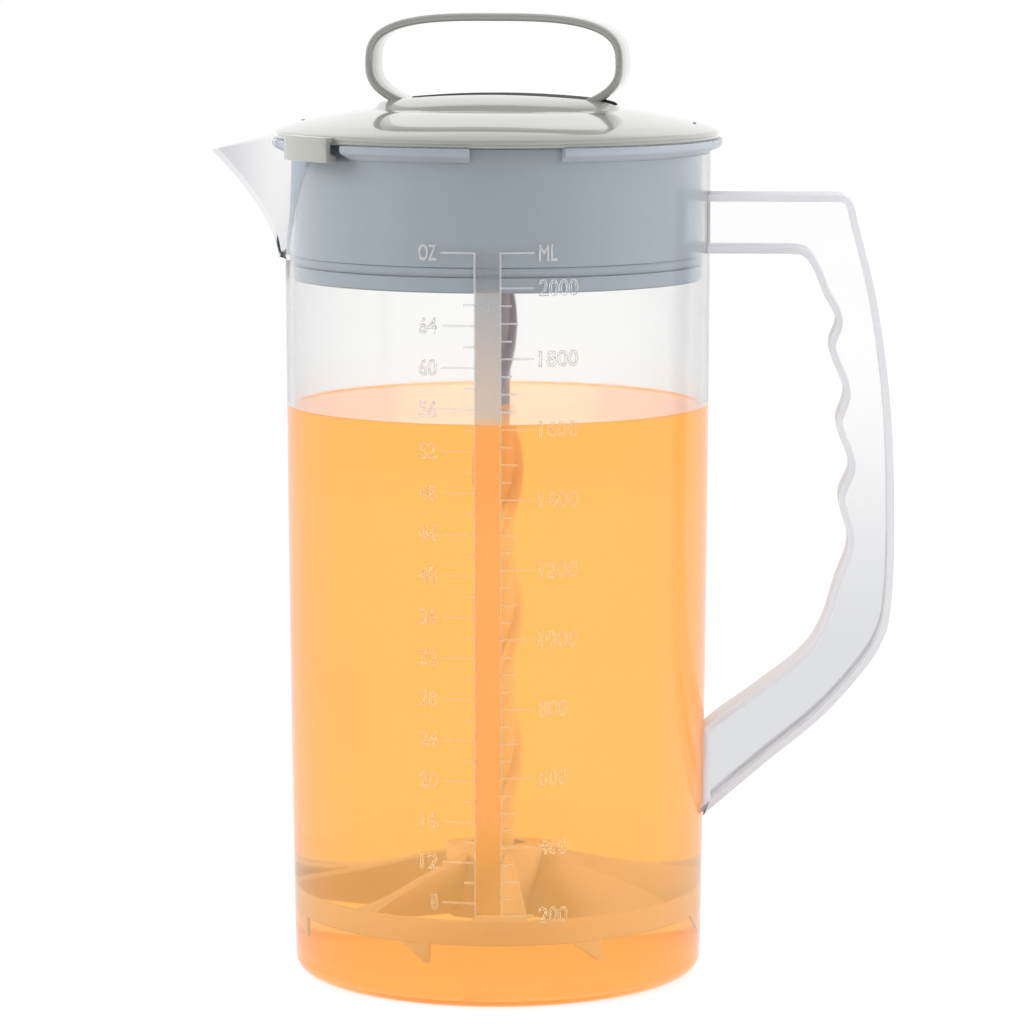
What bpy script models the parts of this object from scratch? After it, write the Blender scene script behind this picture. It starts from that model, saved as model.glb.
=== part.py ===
"""Quick stir pitcher: a clear jug with a turning lid and a plunger whose twisted shaft spins an agitator.

The origin is the centre of the jug's underside. +Z is up, +X points along the jug's handle,
-X to its spout and -Y to the side with the volume scale.
"""

import math

import bmesh
import bpy
from mathutils import Matrix, Vector

# Clearances and mesh steps
TOUCH_GAP = 0.0003
SEAL_GAP = 0.00012
CUT_OVERRUN = 0.004
MERGE_DISTANCE = 1e-6
ROUND_STEPS = 72
SMALL_ROUND_STEPS = 28
FILLET_STEPS = 4
SHARP_ANGLE = math.radians(35)

# Jug wall and foot
JUG_HEIGHT = 0.2382
JUG_RADIUS = 0.0602
JUG_TAPER = 0.0019
JUG_WALL = 0.0020
JUG_FLOOR = 0.0020
FOOT_FILLET = 0.0043
JUG_RINGS = 5

# Lip segments round the jug's mouth, whose gaps let the lid's tabs in
LIP_REACH = 0.0033
LIP_FACE = 0.0016
LIP_SLOPE = 0.0017
LIP_ROOT = 0.0007
LIP_GAP_ANGLE = math.radians(24)
TAB_ANGLES = (math.radians(-52.5), math.radians(127.5))
LID_TURN = math.radians(60)

# Beak spout
SPOUT_REACH = 0.0211
SPOUT_TIP_DROP = 0.0034
SPOUT_RIM_RISE = 0.0007
SPOUT_DEPTH = 0.0337
SPOUT_SWELL = 1.6
SPOUT_FOOT_REACH = 0.0022
SPOUT_FOOT_FILLET = 0.0020
SPOUT_FOOT_SINK = 0.0010
SPOUT_CREASE_REACH = 0.0020
SPOUT_CREASE_WIDTH = 0.0160
SPOUT_RINGS = 7
SPOUT_ROOT = 0.0003
SPOUT_INSIDE_SHARE = 0.74

# Beam handle
HANDLE_REACH = 0.0526
HANDLE_WIDTH = 0.0160
HANDLE_FLANGE = 0.0020
HANDLE_WEB = 0.0024
HANDLE_PAD = 0.0017
HANDLE_DROP = 0.0153
HANDLE_ROOT = 0.0013
OUTER_EDGE_SHARES = (
    (0.715, 1.000), (0.762, 0.985), (0.797, 0.958), (0.886, 0.875), (0.951, 0.779),
    (0.988, 0.680), (1.000, 0.550), (0.983, 0.470), (0.940, 0.431), (0.837, 0.392),
    (0.616, 0.333), (0.318, 0.274), (0.034, 0.216), (-0.050, 0.199),
)
GRIP_EDGE_SHARES = (
    (-0.050, 0.310), (0.055, 0.332), (0.287, 0.372), (0.492, 0.411), (0.606, 0.450),
    (0.680, 0.505), (0.749, 0.558), (0.696, 0.614), (0.751, 0.657), (0.680, 0.709),
    (0.720, 0.751), (0.639, 0.805), (0.675, 0.841), (0.606, 0.875), (0.535, 0.912), (0.470, 0.9255),
)
OUTLINE_STEPS = 4

# Lid cover
COVER_RIM_REACH = 0.00255
COVER_RIM_HEIGHT = 0.0025
COVER_RIM_ROUND = 0.0005
COVER_PLATE = 0.0030
DOME_RISE = 0.0085
DOME_SHOULDER_SHARES = ((0.430, 1.030), (0.612, 0.906), (0.774, 0.706), (0.895, 0.553))
MOUND_LENGTH = 0.0365
MOUND_WIDTH = 0.0325
MOUND_RISE = 0.0114
MOUND_SAG = 0.0024
MOUND_RING_SHARES = (
    (1.000, 1.000, 0.60), (0.975, 0.860, 0.74), (0.945, 0.680, 0.87), (0.920, 0.500, 0.96),
    (0.905, 0.420, 1.00),
)
MOUND_EXPONENT = 2.4
CAP_SHARE = 0.8
WELL_LENGTH = 0.0340
WELL_WIDTH = 0.0125
WELL_EXPONENT = 4
LOOP_ANGLE = math.radians(-6.7)
SPIGOT_WALL = 0.0019
SPIGOT_DEPTH = 0.0052
SHAFT_HOLE_GAP = 0.0006

# Locking tabs of the cover
TAB_ANGLE = math.radians(19)
TAB_WALL = 0.0018
TAB_TOP = 0.0021
TAB_DEPTH = 0.0045
TAB_HOOK = 0.0012

# Deep skirt inside the jug's mouth
SKIRT_DEPTH = 0.0392
SKIRT_WALL = 0.0018
SKIRT_BAND_WALL = 0.0030
SEAL_WIDTH = 0.0028
SEAL_THICK = 0.0011
SEAL_RISE = 0.0042
BAND_MARGIN = 0.0015
WINDOW_ANGLE = math.radians(-150)
WINDOW_SLOTS = 7
WINDOW_PITCH = math.radians(6)
WINDOW_SLOT_WIDTH = 0.0038
WINDOW_HEIGHT = 0.0200
WINDOW_FLOOR = 0.0110

# Twisted shaft, whose lower end stands in the agitator's hub
SHAFT_CORE = 0.0035
SHAFT_FIN = 0.00555
SHAFT_FIN_WIDTH = 0.0026
SHAFT_LEAD = 0.0805
SHAFT_FINS_ACROSS = 0.1852
SHAFT_BOTTOM = 0.0220
TWIST_STEP = math.radians(15)
NUT_CLEARANCE = 0.00035
NUT_WALL = 0.0034
NUT_HEIGHT = 0.0096
NUT_FLANGE = 0.0022
NUT_FLANGE_THICK = 0.0018
BOSS_WALL = 0.0020

# Loop handle and its swivel
LOOP_LENGTH = 0.0361
LOOP_HEIGHT = 0.0148
LOOP_RISE = 0.0054
LOOP_THICK = 0.0022
LOOP_WIDTH = 0.0156
LOOP_EXPONENT = 3.3
LOOP_STEPS = 48
SCREW_RADIUS = 0.0015
SCREW_HEAD = 0.0040
SCREW_HEAD_THICK = 0.0020
SCREW_BITE = 0.0110
WASHER_THICK = 0.0006
WASHER_RIM = 0.0037

# Agitator
RING_CLEARANCE = 0.0021
RING_WALL = 0.0022
RING_BOTTOM = 0.0174
RING_HEIGHT = 0.0071
HUB_RADIUS = 0.01125
HUB_TOP = 0.0390
HUB_FLOOR = 0.0036
BLADE_COUNT = 7
BLADE_THICK = 0.0017
BLADE_FOOT = 0.0012
BLADE_SWEEP = math.radians(-26)
BLADE_STEPS = 4
FIRST_BLADE_ANGLE = math.radians(11.8)
TOOTH_HEIGHT = 0.0054
TOOTH_ANGLE = math.radians(7)
TOOTH_TIP_ANGLE = math.radians(1.6)
FIRST_TOOTH_ANGLE = math.radians(-17.5)

# Levels that follow from the sizes above
HANDLE_TOP = JUG_HEIGHT - HANDLE_DROP
COVER_SEAT = JUG_HEIGHT + TOUCH_GAP
COVER_TOP = COVER_SEAT + COVER_RIM_HEIGHT
LOOP_BOTTOM = COVER_SEAT + LOOP_RISE
WELL_FLOOR = LOOP_BOTTOM - TOUCH_GAP
COVER_UNDERSIDE = WELL_FLOOR - COVER_PLATE
SHAFT_TOP = LOOP_BOTTOM - WASHER_THICK - TOUCH_GAP - TOUCH_GAP
SKIRT_TOP = COVER_SEAT - TOUCH_GAP
SKIRT_BOTTOM = SKIRT_TOP - SKIRT_DEPTH
SEAL_BOTTOM = SKIRT_BOTTOM + SEAL_RISE
HUB_BOTTOM = SHAFT_BOTTOM - TOUCH_GAP - HUB_FLOOR


def clear_scene():
    for existing in list(bpy.data.objects):
        bpy.data.objects.remove(existing, do_unlink=True)


def plastic(name, colour, roughness, alpha=1.0, metallic=0.0):
    """A Principled material of one plain colour."""
    made = bpy.data.materials.new(name)
    made.use_nodes = True
    shader = made.node_tree.nodes["Principled BSDF"]
    shader.inputs["Base Color"].default_value = (*colour, 1.0)
    shader.inputs["Roughness"].default_value = roughness
    shader.inputs["Metallic"].default_value = metallic
    shader.inputs["Alpha"].default_value = alpha
    return made


def finished(name, mesh_data, material=None):
    """The bmesh as a smooth-shaded object with its faces pointing out."""
    bmesh.ops.recalc_face_normals(mesh_data, faces=mesh_data.faces)
    mesh = bpy.data.meshes.new(name)
    mesh_data.to_mesh(mesh)
    mesh_data.free()
    mesh.shade_smooth()
    mesh.set_sharp_from_angle(angle=SHARP_ANGLE)
    made = bpy.data.objects.new(name, mesh)
    bpy.context.scene.collection.objects.link(made)
    if material:
        mesh.materials.append(material)
    return made


def helper(made):
    """Marks an object as a tool for another's Boolean, which doesn't render."""
    made.hide_render = True
    made.display_type = "WIRE"
    return made


def combine(target, tool, operation):
    change = target.modifiers.new(tool.name, "BOOLEAN")
    change.operation = operation
    change.object = helper(tool)
    change.solver = "EXACT"


def around(radius, angle, height):
    """The point at this radius and height, its angle counted from -Y towards +X."""
    return Vector((radius * math.sin(angle), -radius * math.cos(angle), height))


def jug_radius(height):
    """Outside radius of the jug, which narrows a little towards its foot."""
    return JUG_RADIUS - JUG_TAPER * (1 - height / JUG_HEIGHT) ** 2


def fillet(centre_radius, centre_height, size, start, end, steps=FILLET_STEPS):
    """Points of an arc in a turned profile, between two angles."""
    points = []
    for step in range(steps + 1):
        angle = start + (end - start) * step / steps
        points.append((centre_radius + size * math.cos(angle), centre_height + size * math.sin(angle)))
    return points


def turned(name, profile, material=None, steps=ROUND_STEPS, closed=False):
    """A solid of revolution about Z from (radius, height) points."""
    shape = bmesh.new()
    points = [shape.verts.new((radius, 0, height)) for radius, height in profile]
    edges = [shape.edges.new(pair) for pair in zip(points, points[1:])]
    if closed:
        edges.append(shape.edges.new((points[-1], points[0])))
    bmesh.ops.spin(shape, geom=points + edges, axis=(0, 0, 1), angle=math.tau, steps=steps, use_merge=True)
    bmesh.ops.remove_doubles(shape, verts=shape.verts, dist=MERGE_DISTANCE)
    return finished(name, shape, material)


def add_sector(shape, profile, start, end):
    """Turns a closed profile through part of a circle and closes its ends."""
    steps = max(2, round(ROUND_STEPS * (end - start) / math.tau))
    outline = [shape.verts.new(around(radius, start, height)) for radius, height in profile]
    face = shape.faces.new(outline)
    bmesh.ops.spin(
        shape, geom=[face, *face.edges, *face.verts], axis=(0, 0, 1), angle=end - start, steps=steps
    )


def add_prism(shape, outline, low, high):
    """Extrudes an outline of (x, z) points along Y."""
    face = shape.faces.new([shape.verts.new((x, low, z)) for x, z in outline])
    grown = bmesh.ops.extrude_face_region(shape, geom=[face])
    moved = [item for item in grown["geom"] if isinstance(item, bmesh.types.BMVert)]
    bmesh.ops.translate(shape, verts=moved, vec=(0, high - low, 0))


def add_loft(shape, rings):
    """Skins a stack of rings that have equal counts of points, and closes both ends."""
    stack = [[shape.verts.new(point) for point in ring] for ring in rings]
    count = len(stack[0])
    for lower, upper in zip(stack, stack[1:]):
        for index in range(count):
            following = (index + 1) % count
            shape.faces.new((lower[index], lower[following], upper[following], upper[index]))
    shape.faces.new(stack[0])
    shape.faces.new(stack[-1])


def smooth_line(points, steps=OUTLINE_STEPS):
    """A Catmull-Rom curve through the points."""
    points = [Vector(point) for point in points]
    padded = [points[0] * 2 - points[1], *points, points[-1] * 2 - points[-2]]
    line = []
    for before, first, second, after in zip(padded, padded[1:], padded[2:], padded[3:]):
        for step in range(steps):
            share = step / steps
            line.append(
                first
                + (second - before) * share / 2
                + (before * 2 - first * 5 + second * 4 - after) * share**2 / 2
                + (first * 3 - before - second * 3 + after) * share**3 / 2
            )
    return [*line, points[-1]]


def inset(outline, distance):
    """The closed outline moved inwards, with mitred corners. The outline runs anticlockwise."""
    moved = []
    for index, corner in enumerate(outline):
        before = (corner - outline[index - 1]).normalized()
        after = (outline[(index + 1) % len(outline)] - corner).normalized()
        normals = Vector((-before.y, before.x)), Vector((-after.y, after.x))
        moved.append(corner + (normals[0] + normals[1]) * distance / (1 + normals[0].dot(normals[1])))
    return moved


def unfolded(outline, moved):
    """The inset outline without the corners where it has turned back on itself."""
    kept = []
    for index, corner in enumerate(moved):
        before = outline[index] - outline[index - 1]
        if before.dot(corner - moved[index - 1]) > 0:
            kept.append(corner)
    return kept


def clipped(outline, least):
    """The part of a closed outline whose first coordinate is at least this."""
    kept = []
    for index, point in enumerate(outline):
        before = outline[index - 1]
        if (before.x - least) * (point.x - least) < 0:
            kept.append(before.lerp(point, (least - before.x) / (point.x - before.x)))
        if point.x >= least:
            kept.append(point)
    return kept


def superellipse(half_length, half_width, exponent, steps):
    """Points round a superellipse, anticlockwise."""
    points = []
    for step in range(steps):
        angle = math.tau * step / steps
        run, rise = math.cos(angle), math.sin(angle)
        points.append(
            Vector((
                half_length * math.copysign(abs(run) ** (2 / exponent), run),
                half_width * math.copysign(abs(rise) ** (2 / exponent), rise),
            ))
        )
    return points


def jug_body():
    """The jug's outside, as a solid that its hollow is cut from."""
    foot = jug_radius(0)
    profile = [(0, 0), *fillet(foot - FOOT_FILLET, FOOT_FILLET, FOOT_FILLET, -math.pi / 2, 0)]
    for ring in range(1, JUG_RINGS + 1):
        height = FOOT_FILLET + (JUG_HEIGHT + CUT_OVERRUN - FOOT_FILLET) * ring / JUG_RINGS
        profile.append((jug_radius(height), height))
    profile.append((0, JUG_HEIGHT + CUT_OVERRUN))
    return profile[::-1]


def jug_hollow():
    """The inside of the jug, one wall in from its outside and one floor up."""
    size = FOOT_FILLET
    foot = jug_radius(0) - JUG_WALL
    profile = [(0, JUG_FLOOR), *fillet(foot - size, JUG_FLOOR + size, size, -math.pi / 2, 0)]
    top = JUG_HEIGHT + CUT_OVERRUN + CUT_OVERRUN
    for ring in range(1, JUG_RINGS + 1):
        height = JUG_FLOOR + size + (top - JUG_FLOOR - size) * ring / JUG_RINGS
        profile.append((jug_radius(height) - JUG_WALL, height))
    profile.append((0, top))
    return profile[::-1]


def lips():
    """The lip segments between the four gaps, which the spout also interrupts."""
    top = JUG_HEIGHT + CUT_OVERRUN / 2
    face = JUG_HEIGHT - LIP_FACE
    wall = JUG_RADIUS
    profile = (
        (wall - LIP_ROOT, top),
        (wall + LIP_REACH, top),
        (wall + LIP_REACH, face),
        (wall, face - LIP_SLOPE),
        (wall - LIP_ROOT, face - LIP_SLOPE),
    )
    gaps = sorted(angle % math.tau for tab in TAB_ANGLES for angle in (tab, tab + LID_TURN))
    shape = bmesh.new()
    for gap, following in zip(gaps, [*gaps[1:], gaps[0] + math.tau]):
        add_sector(shape, profile, gap + LIP_GAP_ANGLE / 2, following - LIP_GAP_ANGLE / 2)
    return finished("lips", shape)


def spout_section(height, wall):
    """The beak's outline at one height: tangent to the jug, creased, then straight to its keel."""
    foot = JUG_HEIGHT - SPOUT_DEPTH
    share = max(0, (height - foot) / (SPOUT_DEPTH - SPOUT_TIP_DROP))
    keel = JUG_RADIUS + SPOUT_FOOT_REACH + (SPOUT_REACH - SPOUT_FOOT_REACH) * share**SPOUT_SWELL
    crease = Vector((-JUG_RADIUS - SPOUT_CREASE_REACH, SPOUT_CREASE_WIDTH * (share + SPOUT_ROOT)))
    lean = math.atan2(crease.y, -crease.x) + math.acos(min(1, jug_radius(height) / crease.length))
    root = Vector((-math.cos(lean), math.sin(lean))) * (jug_radius(height) - SPOUT_ROOT)
    half = [root * SPOUT_INSIDE_SHARE, root, crease]
    outline = [*half, Vector((-keel, 0)), *(Vector((point.x, -point.y)) for point in half[::-1])]
    return inset(outline, wall) if wall else outline


def spout(name, wall, low, high):
    """The beak's outside, or with a wall its inside, as a solid that runs from inside the jug."""
    heights = [low + (high - low) * ring / SPOUT_RINGS for ring in range(SPOUT_RINGS + 1)]
    rings = []
    for height in heights:
        section = spout_section(height, wall)
        rings.append([(point.x, point.y, height) for point in section])
    shrink = (JUG_RADIUS - JUG_WALL * 2) / (JUG_RADIUS + SPOUT_FOOT_REACH)
    lowest = [(x * shrink, y * shrink, z - SPOUT_FOOT_FILLET) for x, y, z in rings[0]]
    shape = bmesh.new()
    add_loft(shape, [lowest, *rings])
    return finished(name, shape)


def rim_cutter():
    """Takes off all that stands above the jug's rim and above the beak's sloping edge."""
    reach = JUG_RADIUS + HANDLE_REACH
    beak = JUG_RADIUS + COVER_RIM_REACH + TOUCH_GAP
    start = JUG_HEIGHT + SPOUT_RIM_RISE
    slope = (SPOUT_RIM_RISE + SPOUT_TIP_DROP) / (JUG_RADIUS + SPOUT_REACH - beak)
    top = JUG_HEIGHT + HANDLE_REACH
    outline = (
        (-reach, start - (reach - beak) * slope),
        (-beak, start),
        (-beak, JUG_HEIGHT),
        (reach, JUG_HEIGHT),
        (reach, top),
        (-reach, top),
    )
    shape = bmesh.new()
    add_prism(shape, outline, -reach, reach)
    return finished("rim_cutter", shape)


def handle_outline():
    """The beam handle's side view, from the wall round its outer edge and back along the grip."""
    outer = [(JUG_RADIUS + x * HANDLE_REACH, z * HANDLE_TOP) for x, z in OUTER_EDGE_SHARES]
    grip = [(JUG_RADIUS + x * HANDLE_REACH, z * HANDLE_TOP) for x, z in GRIP_EDGE_SHARES]
    wall = JUG_RADIUS - HANDLE_ROOT
    top = Vector((wall, HANDLE_TOP))
    grip_top = Vector((wall, grip[-1][1]))
    outline = [top, *smooth_line(outer), *smooth_line(grip), grip_top]
    return outline[::-1]


def beam_handle():
    outline = handle_outline()
    shape = bmesh.new()
    add_prism(shape, outline, -HANDLE_WIDTH / 2, HANDLE_WIDTH / 2)
    handle = finished("beam_handle", shape)
    pocket = clipped(unfolded(outline, inset(outline, HANDLE_FLANGE)), JUG_RADIUS + HANDLE_PAD)
    for name, low, high in (
        ("front_pocket", -HANDLE_WIDTH, -HANDLE_WEB / 2),
        ("back_pocket", HANDLE_WEB / 2, HANDLE_WIDTH),
    ):
        shape = bmesh.new()
        add_prism(shape, pocket, low, high)
        combine(handle, finished(name, shape), "DIFFERENCE")
    return handle


def make_pitcher(material):
    foot = JUG_HEIGHT - SPOUT_DEPTH
    beak_top = JUG_HEIGHT + CUT_OVERRUN / 3
    hollow_top = JUG_HEIGHT + CUT_OVERRUN * 3
    pitcher = turned("pitcher", jug_body(), material)
    combine(pitcher, lips(), "UNION")
    combine(pitcher, spout("beak", 0, foot, beak_top), "UNION")
    combine(pitcher, beam_handle(), "UNION")
    combine(pitcher, rim_cutter(), "DIFFERENCE")
    combine(pitcher, turned("jug_hollow", jug_hollow()), "DIFFERENCE")
    inner_foot = foot + JUG_WALL + SPOUT_FOOT_SINK
    combine(pitcher, spout("beak_hollow", JUG_WALL, inner_foot, hollow_top), "DIFFERENCE")
    return pitcher


def tabs():
    """Two hooks that hang from the cover's rim and turn in under the jug's lip."""
    lip = JUG_RADIUS + LIP_REACH
    inside = lip + TOUCH_GAP
    outside = inside + TAB_WALL
    hook = JUG_RADIUS + TAB_HOOK
    top = COVER_SEAT + TAB_TOP
    bridge = COVER_SEAT + COVER_RIM_ROUND / 2
    bottom = JUG_HEIGHT - TAB_DEPTH
    face = JUG_HEIGHT - LIP_FACE - TOUCH_GAP
    slope = LIP_SLOPE / LIP_REACH
    root = JUG_RADIUS
    profile = (
        (root, top),
        (root, bridge),
        (inside, bridge),
        (inside, face),
        (hook, face - (inside - hook) * slope),
        (hook, bottom),
        (outside, bottom),
        (outside, top),
    )
    shape = bmesh.new()
    for angle in TAB_ANGLES:
        add_sector(shape, profile, angle - TAB_ANGLE / 2, angle + TAB_ANGLE / 2)
    return finished("tabs", shape)


def mound():
    """The oval swelling that the loop handle sinks into, lower at its ends."""
    low = COVER_UNDERSIDE + COVER_PLATE / 2
    foot = superellipse(MOUND_LENGTH, MOUND_WIDTH, MOUND_EXPONENT, SMALL_ROUND_STEPS)
    rings = [[(point.x, point.y, low) for point in foot]]
    for length_share, width_share, rise_share in MOUND_RING_SHARES:
        ring = []
        outline = superellipse(
            MOUND_LENGTH * length_share, MOUND_WIDTH * width_share, MOUND_EXPONENT, SMALL_ROUND_STEPS
        )
        for point in outline:
            sag = MOUND_SAG * (point.x / MOUND_LENGTH) ** 2
            ring.append((point.x, point.y, COVER_SEAT + (MOUND_RISE - sag) * rise_share))
        rings.append(ring)
    cap = superellipse(WELL_LENGTH * CAP_SHARE, WELL_WIDTH * CAP_SHARE, MOUND_EXPONENT, SMALL_ROUND_STEPS)
    rings.append([(point.x, point.y, COVER_SEAT + MOUND_RISE) for point in cap])
    shape = bmesh.new()
    add_loft(shape, rings)
    made = finished("mound", shape)
    made.rotation_euler.z = LOOP_ANGLE
    return made


def well():
    shape = bmesh.new()
    outline = superellipse(WELL_LENGTH, WELL_WIDTH, WELL_EXPONENT, SMALL_ROUND_STEPS)
    heights = (WELL_FLOOR, COVER_TOP + LOOP_HEIGHT)
    add_loft(shape, [[(point.x, point.y, height) for point in outline] for height in heights])
    made = finished("well", shape)
    made.rotation_euler.z = LOOP_ANGLE
    return made


def cover_profile():
    """Dome, rim, the spigot that stands in the skirt, and the boss that holds the nut."""
    rim = JUG_RADIUS + COVER_RIM_REACH
    spigot = skirt_radius() - SKIRT_WALL - TOUCH_GAP
    bore = nut_radius() + TOUCH_GAP
    boss_bottom = COVER_UNDERSIDE - NUT_HEIGHT
    return [
        (0, COVER_SEAT + DOME_RISE * DOME_SHOULDER_SHARES[0][1]),
        *((rim * x, COVER_SEAT + DOME_RISE * z) for x, z in DOME_SHOULDER_SHARES),
        (rim - COVER_RIM_ROUND, COVER_TOP),
        (rim, COVER_TOP - COVER_RIM_ROUND),
        (rim, COVER_SEAT + COVER_RIM_ROUND),
        (rim - COVER_RIM_ROUND, COVER_SEAT),
        (spigot, COVER_SEAT),
        (spigot, COVER_SEAT - SPIGOT_DEPTH),
        (spigot - SPIGOT_WALL, COVER_SEAT - SPIGOT_DEPTH),
        (spigot - SPIGOT_WALL, COVER_UNDERSIDE),
        (bore + BOSS_WALL, COVER_UNDERSIDE),
        (bore + BOSS_WALL, boss_bottom),
        (bore, boss_bottom),
        (bore, COVER_UNDERSIDE),
        (0, COVER_UNDERSIDE),
    ]


def make_lid_cover(material):
    cover = turned("lid_cover", cover_profile(), material)
    hole = SHAFT_FIN + SHAFT_HOLE_GAP
    low = COVER_UNDERSIDE - CUT_OVERRUN
    high = WELL_FLOOR + CUT_OVERRUN
    hole_profile = ((0, high), (hole, high), (hole, low), (0, low))
    combine(cover, mound(), "UNION")
    combine(cover, well(), "DIFFERENCE")
    combine(cover, turned("shaft_hole", hole_profile, steps=SMALL_ROUND_STEPS), "DIFFERENCE")
    combine(cover, tabs(), "UNION")
    return cover


def ring_radius():
    """The agitator's rim clears the jug's wall at its lower edge."""
    return jug_radius(RING_BOTTOM) - JUG_WALL - RING_CLEARANCE


def skirt_radius():
    """The skirt clears the jug's wall at its tightest, which is its lower edge."""
    return jug_radius(SKIRT_BOTTOM) - JUG_WALL - TOUCH_GAP


def make_lid_skirt(material):
    """A deep collar with a groove for the seal and a grid of pouring slots."""
    outside = skirt_radius()
    inside = outside - SKIRT_WALL
    band = outside - SKIRT_BAND_WALL
    groove = outside - SEAL_THICK
    band_top = SEAL_BOTTOM + SEAL_WIDTH + BAND_MARGIN
    groove_low = SEAL_BOTTOM - TOUCH_GAP
    groove_high = SEAL_BOTTOM + SEAL_WIDTH + TOUCH_GAP
    profile = (
        (outside, SKIRT_TOP),
        (outside, groove_high),
        (groove, groove_high),
        (groove, groove_low),
        (outside, groove_low),
        (outside, SKIRT_BOTTOM),
        (inside, SKIRT_BOTTOM),
        (band, SKIRT_BOTTOM + BAND_MARGIN),
        (band, band_top),
        (inside, band_top + BAND_MARGIN),
        (inside, SKIRT_TOP),
    )
    skirt = turned("lid_skirt", profile, material, closed=True)
    shape = bmesh.new()
    low = SKIRT_BOTTOM + WINDOW_FLOOR
    slot_radius = (outside + inside) / 2
    for slot in range(WINDOW_SLOTS):
        angle = WINDOW_ANGLE + (slot - (WINDOW_SLOTS - 1) / 2) * WINDOW_PITCH
        made = bmesh.ops.create_cube(shape, size=1)["verts"]
        size = Vector((WINDOW_SLOT_WIDTH, CUT_OVERRUN * 2, WINDOW_HEIGHT))
        bmesh.ops.scale(shape, verts=made, vec=size)
        bmesh.ops.translate(shape, verts=made, vec=(0, -slot_radius, low + WINDOW_HEIGHT / 2))
        bmesh.ops.rotate(shape, verts=made, matrix=Matrix.Rotation(angle, 3, "Z"))
    combine(skirt, finished("pouring_slots", shape), "DIFFERENCE")
    return skirt


def make_skirt_seal(material):
    """A rubber ring that stands a little proud of the skirt."""
    outside = jug_radius(SEAL_BOTTOM) - JUG_WALL - SEAL_GAP
    inside = skirt_radius() - SEAL_THICK + TOUCH_GAP
    top = SEAL_BOTTOM + SEAL_WIDTH
    crown = (outside - inside) / 2
    profile = (
        (inside, top),
        (inside + crown, top),
        (outside, top - crown),
        (outside, SEAL_BOTTOM + crown),
        (inside + crown, SEAL_BOTTOM),
        (inside, SEAL_BOTTOM),
    )
    return turned("skirt_seal", profile, material, closed=True)


def shaft_section(grown=0):
    """Core and two fins, anticlockwise, made larger all round by a clearance."""
    core = SHAFT_CORE + grown
    fin = SHAFT_FIN + grown
    half = SHAFT_FIN_WIDTH / 2 + grown
    root = math.asin(half / core)
    points = []
    for side in (0, math.pi):
        turn = Matrix.Rotation(side, 2)
        tip = math.sqrt(fin**2 - half**2)
        points.append(turn @ Vector((tip, -half)))
        points.append(turn @ Vector((fin, 0)))
        points.append(turn @ Vector((tip, half)))
        for step in range(FILLET_STEPS):
            angle = root + (math.pi - 2 * root) * step / (FILLET_STEPS - 1)
            points.append(turn @ Vector((core * math.cos(angle), core * math.sin(angle))))
    return points


def twisted(name, section, low, high, material=None):
    """Sweeps a section along Z with the shaft's twist, whose fins lie along X at one level."""
    turn = math.tau * (high - low) / SHAFT_LEAD
    steps = math.ceil(turn / TWIST_STEP)
    start = Matrix.Rotation(math.tau * (low - SHAFT_FINS_ACROSS) / SHAFT_LEAD, 2)
    shape = bmesh.new()
    outline = [start @ point for point in section]
    face = shape.faces.new([shape.verts.new((point.x, point.y, low)) for point in outline])
    bmesh.ops.spin(
        shape,
        geom=[face, *face.edges, *face.verts],
        axis=(0, 0, 1),
        dvec=(0, 0, (high - low) / steps),
        angle=turn,
        steps=steps,
    )
    return finished(name, shape, material)


def pilot_hole(name, low, high):
    radius = SCREW_RADIUS + TOUCH_GAP
    return turned(name, ((0, high), (radius, high), (radius, low), (0, low)), steps=SMALL_ROUND_STEPS)


def make_spiral_shaft(material):
    shaft = twisted("spiral_shaft", shaft_section(), SHAFT_BOTTOM, SHAFT_TOP, material)
    bite = SCREW_BITE + TOUCH_GAP
    combine(shaft, pilot_hole("top_pilot", SHAFT_TOP - bite, SHAFT_TOP + CUT_OVERRUN), "DIFFERENCE")
    combine(shaft, pilot_hole("foot_pilot", SHAFT_BOTTOM - CUT_OVERRUN, SHAFT_BOTTOM + bite), "DIFFERENCE")
    return shaft


def nut_radius():
    return SHAFT_FIN + NUT_WALL


def make_shaft_nut(material):
    """The bush whose twisted bore makes the shaft spin as it slides."""
    top = COVER_UNDERSIDE - TOUCH_GAP
    shoulder = COVER_UNDERSIDE - NUT_HEIGHT - TOUCH_GAP
    bottom = shoulder - NUT_FLANGE_THICK
    flange = nut_radius() + NUT_FLANGE
    profile = (
        (0, top),
        (nut_radius(), top),
        (nut_radius(), shoulder),
        (flange, shoulder),
        (flange, bottom),
        (0, bottom),
    )
    nut = turned("shaft_nut", profile, material, steps=SMALL_ROUND_STEPS)
    bore = twisted("nut_bore", shaft_section(NUT_CLEARANCE), bottom - CUT_OVERRUN, top + CUT_OVERRUN)
    combine(nut, bore, "DIFFERENCE")
    return nut


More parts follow.
